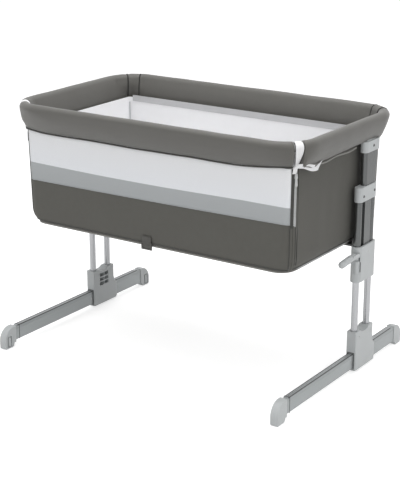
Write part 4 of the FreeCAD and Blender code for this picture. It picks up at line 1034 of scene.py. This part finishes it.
def makeTeeth(side, low, high):
    work = bmesh.new()
    centre, outward, across = cornerFrame(side, joint["angle"])
    wide, deep, tall = zipper["tooth"]
    for k in range(int((high - low) / zipper["pitch"])):
        spot = wallSpot(side, joint["angle"], low + k * zipper["pitch"], zipper["proud"])
        turned = Matrix((across, outward, up)).transposed().to_4x4()
        place = Matrix.Translation(spot) @ turned @ Matrix.Diagonal((wide, deep, tall, 1))
        bmesh.ops.create_cube(work, size=1, matrix=place)
    teeth = pieceFrom(work, f"{side}ZipTeeth")
    dress(teeth, "teeth")
    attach(teeth, "tub")


def makeZip(side):
    low, high = floorZ + zipper["end"], windowHigh + zipper["top"]
    middle, split = joint["angle"], zipper["split"]
    rear = uprightTape(f"{side}ZipTape", side, middle - zipSpread, middle - split, low, high, 0.0, "zip")
    makeTeeth(side, bandLow + zipper["teethFoot"], high - zipper["teethHead"])
    first, last = (middle + angle for angle in zipper["flap"])
    uprightTape(f"{side}ZipFlap", side, first, last, low, bandLow + zipper["flapRise"], zipper["flapProud"],
                "panel")
    bindingEnd = middle + zipSpread + degreesOf(joint["bindingAndShadow"])
    for share, foot, head in (("", low, bandLow), ("Upper", bandLow, high)):  # the lower part and the upper part
        finish = "hem" if share else "panel"
        pieces = [
            uprightTape(f"{side}ZipFrontTape{share}", side, middle + split, middle + zipSpread, foot, head,
                        0.0, "zip"),
            uprightTape(f"{side}Binding{share}", side, middle + zipSpread - 0.5, bindingEnd, foot, head,
                        zipper["bindingProud"], finish),
        ]
        if share:
            for piece in pieces:
                foldWithSide(piece)
    uprightSeam(f"{side}BindingSeam", side, bindingEnd, low, bandLow)
    uprightSeam(f"{side}RearZipSeam", side, middle - zipSpread, low, high)
    uprightSeam(f"{side}SideSeam", side, middle - zipSpread - zipper["seamStep"], low, high)
    return rear


zipTapes = {side: makeZip(side) for side in sides}
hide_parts("zip_tapes")


def moveSlider(side):  # the slider of the solids, set on the wall where the wall stands
    name = f"zip_slider_{side}"
    slider = newPiece(f"{side}ZipSlider", nodes[name].data.copy())
    centre, outward, across = cornerFrame(side, joint["angle"])
    out = wallOut(outward, panelInset, windowHigh - zipper["slider"]) + panelInset
    moveVertices(slider, lambda place, normal: outward * (out + zipper["sliderProud"]))
    dress(slider, "teeth")
    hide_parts(name)
    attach(slider, f"{side}_zip")


for side in sides:
    moveSlider(side)


# White tapes over the corner joints, and the ties beside them.

strap = {"wrap": 0.0032, "fall": 0.066, "narrow": 0.42, "margin": 0.0006, "crease": 0.0007,
         "length": 0.165, "thickness": 0.0012, "columns": 10}
tie = {"thickness": 0.0009, "steps": 7}
knot = {"angle": 39, "in": 0.002, "height": 0.639, "half": (0.008, 0.005, 0.0055), "slope": 0.003,
        "pinch": 0.25}


def makeCornerTape(side):
    count = strap["columns"]
    edge = degreesOf(joint["gap"] / 2 - strap["margin"])
    run = []
    for k in range(count + 1):
        centre, outward, across = cornerFrame(side, joint["angle"] + edge - 2 * edge * k / count)
        run.append((centre + outward * bend, outward, 2 * math.radians(edge) * bend * k / count))
    radius = tubeRadius + strap["wrap"]

    def pairs(distance, outward):
        foot = tightOut(outward, panelInset, wall["corner"][1]) + 0.004
        found = [(-radius - 0.002, railZ - strap["fall"] + 0.01 * k) for k in range(6)]
        found += [(radius * math.cos(math.radians(t)), railZ + radius * math.sin(math.radians(t)))
                  for t in range(180, -1, -15)]
        for k in range(1, 11):
            t = k / 10
            found.append((radius + (foot - radius) * ease(t), railZ - strap["fall"] * t))
        return found

    piece = sweptSkin(f"{side}CornerTape", run, pairs)
    middle, outward, across = cornerFrame(side, joint["angle"])
    spot = middle + outward * bend

    def gather(place, normal):
        fall = clamp((railZ - place.z) / strap["fall"])
        offset = (place - spot).dot(across)
        crease = strap["crease"] * math.sin(offset * 900 + place.z * 60) * (0.3 + fall)
        return across * (-offset * strap["narrow"] * ease(fall * 1.3)) + outward * crease

    moveVertices(piece, gather)
    solidify(piece, strap["thickness"], 0.0)
    subdivide(piece)
    applyAll(piece)
    shadeSmooth(piece)
    dress(piece, "tape")
    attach(piece, "tub")
    return piece


# A tie: places are (angle round the bend, run behind it, outboard, height, half width, turn of its face);
# a strip without a turn hangs down and is broad along the rail.
def makeTie(name, side, places):
    spots = []
    for angle, behind, out, height, half, turn in places:
        centre, outward, across = cornerFrame(side, angle)
        spot = centre + outward * (bend + out) + Vector((0, behind, height))
        broad = across if turn is None else up * math.cos(turn) + outward * math.sin(turn)
        spots.append((spot, broad, half))
    work = bmesh.new()
    uv = work.loops.layers.uv.new("cloth")
    steps = tie["steps"]
    rows, lengths = [], [0.0]
    for i in range(len(spots) - 1):
        for k in range(steps + (i == len(spots) - 2)):
            t = k / steps
            before, after = spots[max(0, i - 1)], spots[min(len(spots) - 1, i + 2)]
            here, there = spots[i], spots[i + 1]
            spot = 0.5 * (2 * here[0] + (there[0] - before[0]) * t
                          + (2 * before[0] - 5 * here[0] + 4 * there[0] - after[0]) * t ** 2
                          + (3 * here[0] - before[0] - 3 * there[0] + after[0]) * t ** 3)
            broad = here[1].lerp(there[1], t).normalized()
            half = here[2] + (there[2] - here[2]) * t
            if rows:
                lengths.append(lengths[-1] + (spot - rows[-1][0]).length)
            rows.append((spot, broad, half))
    grid = [[work.verts.new(spot + broad * half * j / 2) for j in range(-2, 3)]
            for spot, broad, half in rows]
    for i in range(len(grid) - 1):
        for j in range(4):
            face = work.faces.new((grid[i][j], grid[i][j + 1], grid[i + 1][j + 1], grid[i + 1][j]))
            corners = ((i, j), (i, j + 1), (i + 1, j + 1), (i + 1, j))
            for corner, (a, b) in zip(face.loops, corners):
                corner[uv].uv = (b * 0.003, lengths[a])
    piece = pieceFrom(work, name)
    solidify(piece, tie["thickness"], 0.0)
    applyAll(piece)
    shadeSmooth(piece)
    dress(piece, "tape")
    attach(piece, "tub")


def makeKnot(side):
    bpy.ops.object.select_all(action="DESELECT")
    bpy.ops.mesh.primitive_uv_sphere_add(segments=20, ring_count=12, radius=1)
    piece = bpy.context.object
    piece.name = f"{side}TieKnot"
    centre, outward, across = cornerFrame(side, knot["angle"])
    spot = centre + outward * (bend - knot["in"]) + up * knot["height"]
    wide, deep, tall = knot["half"]
    for vertex in piece.data.vertices:
        x, y, z = vertex.co
        pinch = 1 + knot["pinch"] * math.sin(5 * z + 3 * x)
        rise = z * tall * pinch - x * knot["slope"]
        vertex.co = spot + across * x * wide * pinch + outward * y * deep + up * rise
    finishPiece(piece, "tape")


tieRuns = {
    "Tail": [(38, 0, 0.001, 0.639, 0.0035, 0.2), (26, 0, 0.005, 0.636, 0.0040, 0.9),
             (12, 0, 0.007, 0.629, 0.0045, 0.2), (0, 0.002, 0.006, 0.627, 0.0050, -0.5),
             (0, 0.016, 0.005, 0.631, 0.0065, 0.2), (0, 0.032, 0.003, 0.637, 0.0045, 0.5)],
    "Loop": [(38, 0, 0.002, 0.643, 0.0030, 0.6), (28, 0, 0.007, 0.644, 0.0030, 0.1),
             (18, 0, 0.009, 0.641, 0.0030, -0.6), (6, 0, 0.008, 0.634, 0.0051, 0.3)],
    "End": [(40, 0, -0.001, 0.639, 0.0051, None), (41, 0, 0.000, 0.630, 0.0051, None),
            (42, 0, -0.003, 0.621, 0.0040, None)],
}
cornerTapes = {side: makeCornerTape(side) for side in sides}
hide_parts("corner_tapes")
for side in sides:
    makeKnot(side)
    for label, places in tieRuns.items():
        makeTie(f"{side}Tie{label}", side, places)
print("zips and tapes ready")


# Legs and feet: tubes, trims of the bars, the grip bar beside the lever, webbing behind the buckle.

trim = {"tubeExtra": 0.0012, "bead": 0.0042, "line": 0.0014, "proud": 0.00035, "lineOut": 0.0062,
        "ring": 0.0010, "overlap": 0.004}
grip = {"radius": 0.0066, "in": 0.0080, "back": 0.0008, "heights": (0.028, 0.030, 0.060, 0.062),
        "slot": 0.0011, "slotIn": 0.0004, "slotBack": 0.0085, "slotHeights": (0.030, 0.058)}
webbing = {"margin": 0.004, "deep": 0.0012, "back": 0.0014, "bevel": 0.0004}


def fullTubes(side):
    name = f"leg_tubes_{side}"
    low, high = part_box(name)
    radius = (high.x - low.x) / 2
    tubes = newPiece(f"{side}LegTubes", nodes[name].data.copy())

    def grow(place, normal):
        middle = low.y + radius if place.y < (low.y + high.y) / 2 else high.y - radius
        across = Vector((place.x - low.x - radius, place.y - middle, 0))
        return across * (trim["tubeExtra"] / radius)

    moveVertices(tubes, grow)
    dress(tubes, "bright")
    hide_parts(name)
    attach(tubes, f"{side}_leg")


def barTrim(side, bar, body, first, last):  # a bright bead between two dark lines along the top of a bar; the dark lines are painted shade of the grooves
    low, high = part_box(f"foot_{bar}_bar_{side}")
    middle = (low.x + high.x) / 2
    lines = (("Bead", 0.0, trim["bead"], "bright"), ("InnerGrooveShade", -trim["lineOut"], trim["line"], "screw"),
             ("OuterGrooveShade", trim["lineOut"], trim["line"], "screw"))
    for label, out, radius, finish in lines:
        x, z = middle + out, high.z + trim["proud"] - radius
        ends = [Vector((x, first, z)), Vector((x, last, z))]
        cordPiece(f"{side}{bar.title()}Bar{label}", ends, radius, finish, body)


def barRing(name, node, y, body):  # the dark joint where a bar enters the next part
    low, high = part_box(node)
    corners = [(low.x, low.z), (low.x, high.z), (high.x, high.z), (high.x, low.z), (low.x, low.z)]
    cordPiece(name, [Vector((x, y, z)) for x, z in corners], trim["ring"], "screw", body)


def gripBar(side):
    low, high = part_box(f"height_housing_{side}")
    out = sides[side]
    edge = high.x if out > 0 else low.x
    x, y = edge - out * grip["in"], low.y + grip["back"]
    bar = [Vector((x, y, low.z + height)) for height in grip["heights"]]
    cordPiece(f"{side}GripBar", bar, grip["radius"], "plastic")
    # the slot is a near-black cord: painted shade inside the slot
    x, y = edge - out * grip["slotIn"], low.y + grip["slotBack"]
    slot = [Vector((x, y, low.z + height)) for height in grip["slotHeights"]]
    cordPiece(f"{side}GripSlotShade", slot, grip["slot"], "screw")


def buckleWebbing():
    low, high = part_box("strap_buckle")
    bpy.ops.object.select_all(action="DESELECT")
    bpy.ops.mesh.primitive_cube_add(size=1)
    piece = bpy.context.object
    piece.name = "buckleWebbing"
    middle = (low + high) / 2
    wide, tall = high.x - low.x - webbing["margin"], high.z - low.z - webbing["margin"]
    for vertex in piece.data.vertices:
        vertex.co = (middle.x + vertex.co.x * wide, low.y + webbing["back"] + vertex.co.y * webbing["deep"],
                     middle.z + vertex.co.z * tall)
    bevel = piece.modifiers.new("edges", "BEVEL")
    bevel.width = webbing["bevel"]
    bevel.segments = 2
    applyAll(piece)
    finishPiece(piece, "buckle")


for side in sides:
    fullTubes(side)
    gripBar(side)
    socketLow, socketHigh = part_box(f"leg_socket_{side}")
    frontCap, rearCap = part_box(f"foot_cap_front_{side}"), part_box(f"foot_cap_rear_{side}")
    over = trim["overlap"]
    barTrim(side, "front", f"{side}_foot", frontCap[1].y - over, socketLow.y + over)
    barTrim(side, "rear", f"{side}_leg", socketHigh.y - over, rearCap[0].y + over)
    barRing(f"{side}FrontCapRing", f"foot_front_bar_{side}", frontCap[1].y + 0.0004, f"{side}_foot")
    barRing(f"{side}SocketRing", f"foot_rear_bar_{side}", socketLow.y - 0.0002, f"{side}_leg")
buckleWebbing()
print("legs and trims ready")


# Floor, lights and camera.

stage = {"floor": (0.80, 0.80, 0.80), "world": 0.48, "size": 60.0, "glow": 0.62, "aim": (0, 0, 0.45),
         "below": 0.0005}
lamps = {
    "topBox": {"place": (0.1, 0.1, 2.9), "size": 2.4, "power": 52.0},
    "frontLeft": {"place": (-1.6, -2.6, 2.3), "size": 2.0, "power": 20.0},
    "frontRight": {"place": (2.6, -1.4, 1.7), "size": 1.0, "power": 17.0},
}
shot = {"place": (1.9983, -2.9667, 1.461), "yaw": 0.594, "down": 0.3172, "lens": 96.83, "far": 60}


def seenRays(tree):  # 1 where the camera looks, straight or through gloss and glass
    path = tree.nodes.new("ShaderNodeLightPath")
    seen = addMath(tree, "MAXIMUM", path.outputs["Is Camera Ray"], path.outputs["Is Glossy Ray"])
    return addMath(tree, "MAXIMUM", seen, path.outputs["Is Transmission Ray"])


def makeStage():
    bpy.ops.object.select_all(action="DESELECT")
    bpy.ops.mesh.primitive_plane_add(size=stage["size"], location=(0, 0, -stage["below"]))
    floor = bpy.context.object
    floor.name = "studioFloor"
    material, tree, shader = newMaterial("paleFloor", 0.9)
    shader.inputs["Base Color"].default_value = (*stage["floor"], 1)
    seen = addMath(tree, "MULTIPLY", seenRays(tree), stage["glow"])
    shader.inputs["Emission Color"].default_value = (1, 1, 1, 1)
    tree.links.new(seen, shader.inputs["Emission Strength"])
    floor.data.materials.append(material)

    world = bpy.data.worlds.new("studio")
    bpy.context.scene.world = world
    world.use_nodes = True
    tree = world.node_tree
    more = addMath(tree, "MULTIPLY", seenRays(tree), 1 - stage["world"])
    strength = addMath(tree, "ADD", more, stage["world"])
    background = tree.nodes["Background"]
    background.inputs["Color"].default_value = (1, 1, 1, 1)
    tree.links.new(strength, background.inputs["Strength"])
    for name, lamp in lamps.items():
        light = bpy.data.lights.new(name, "AREA")
        light.size = lamp["size"]
        light.energy = lamp["power"]
        holder = bpy.data.objects.new(name, light)
        bpy.context.scene.collection.objects.link(holder)
        holder.location = lamp["place"]
        aim = Vector(stage["aim"]) - Vector(lamp["place"])
        holder.rotation_euler = aim.to_track_quat("-Z", "Y").to_euler()
    view = bpy.data.cameras.new("photoCamera")
    view.lens = shot["lens"]
    view.clip_end = shot["far"]
    eye = bpy.data.objects.new("photoCamera", view)
    bpy.context.scene.collection.objects.link(eye)
    eye.location = shot["place"]
    eye.rotation_euler = (math.pi / 2 - shot["down"], 0, shot["yaw"])
    bpy.context.scene.camera = eye
    bpy.context.scene.view_settings.view_transform = "Standard"


makeStage()
print("stage ready")
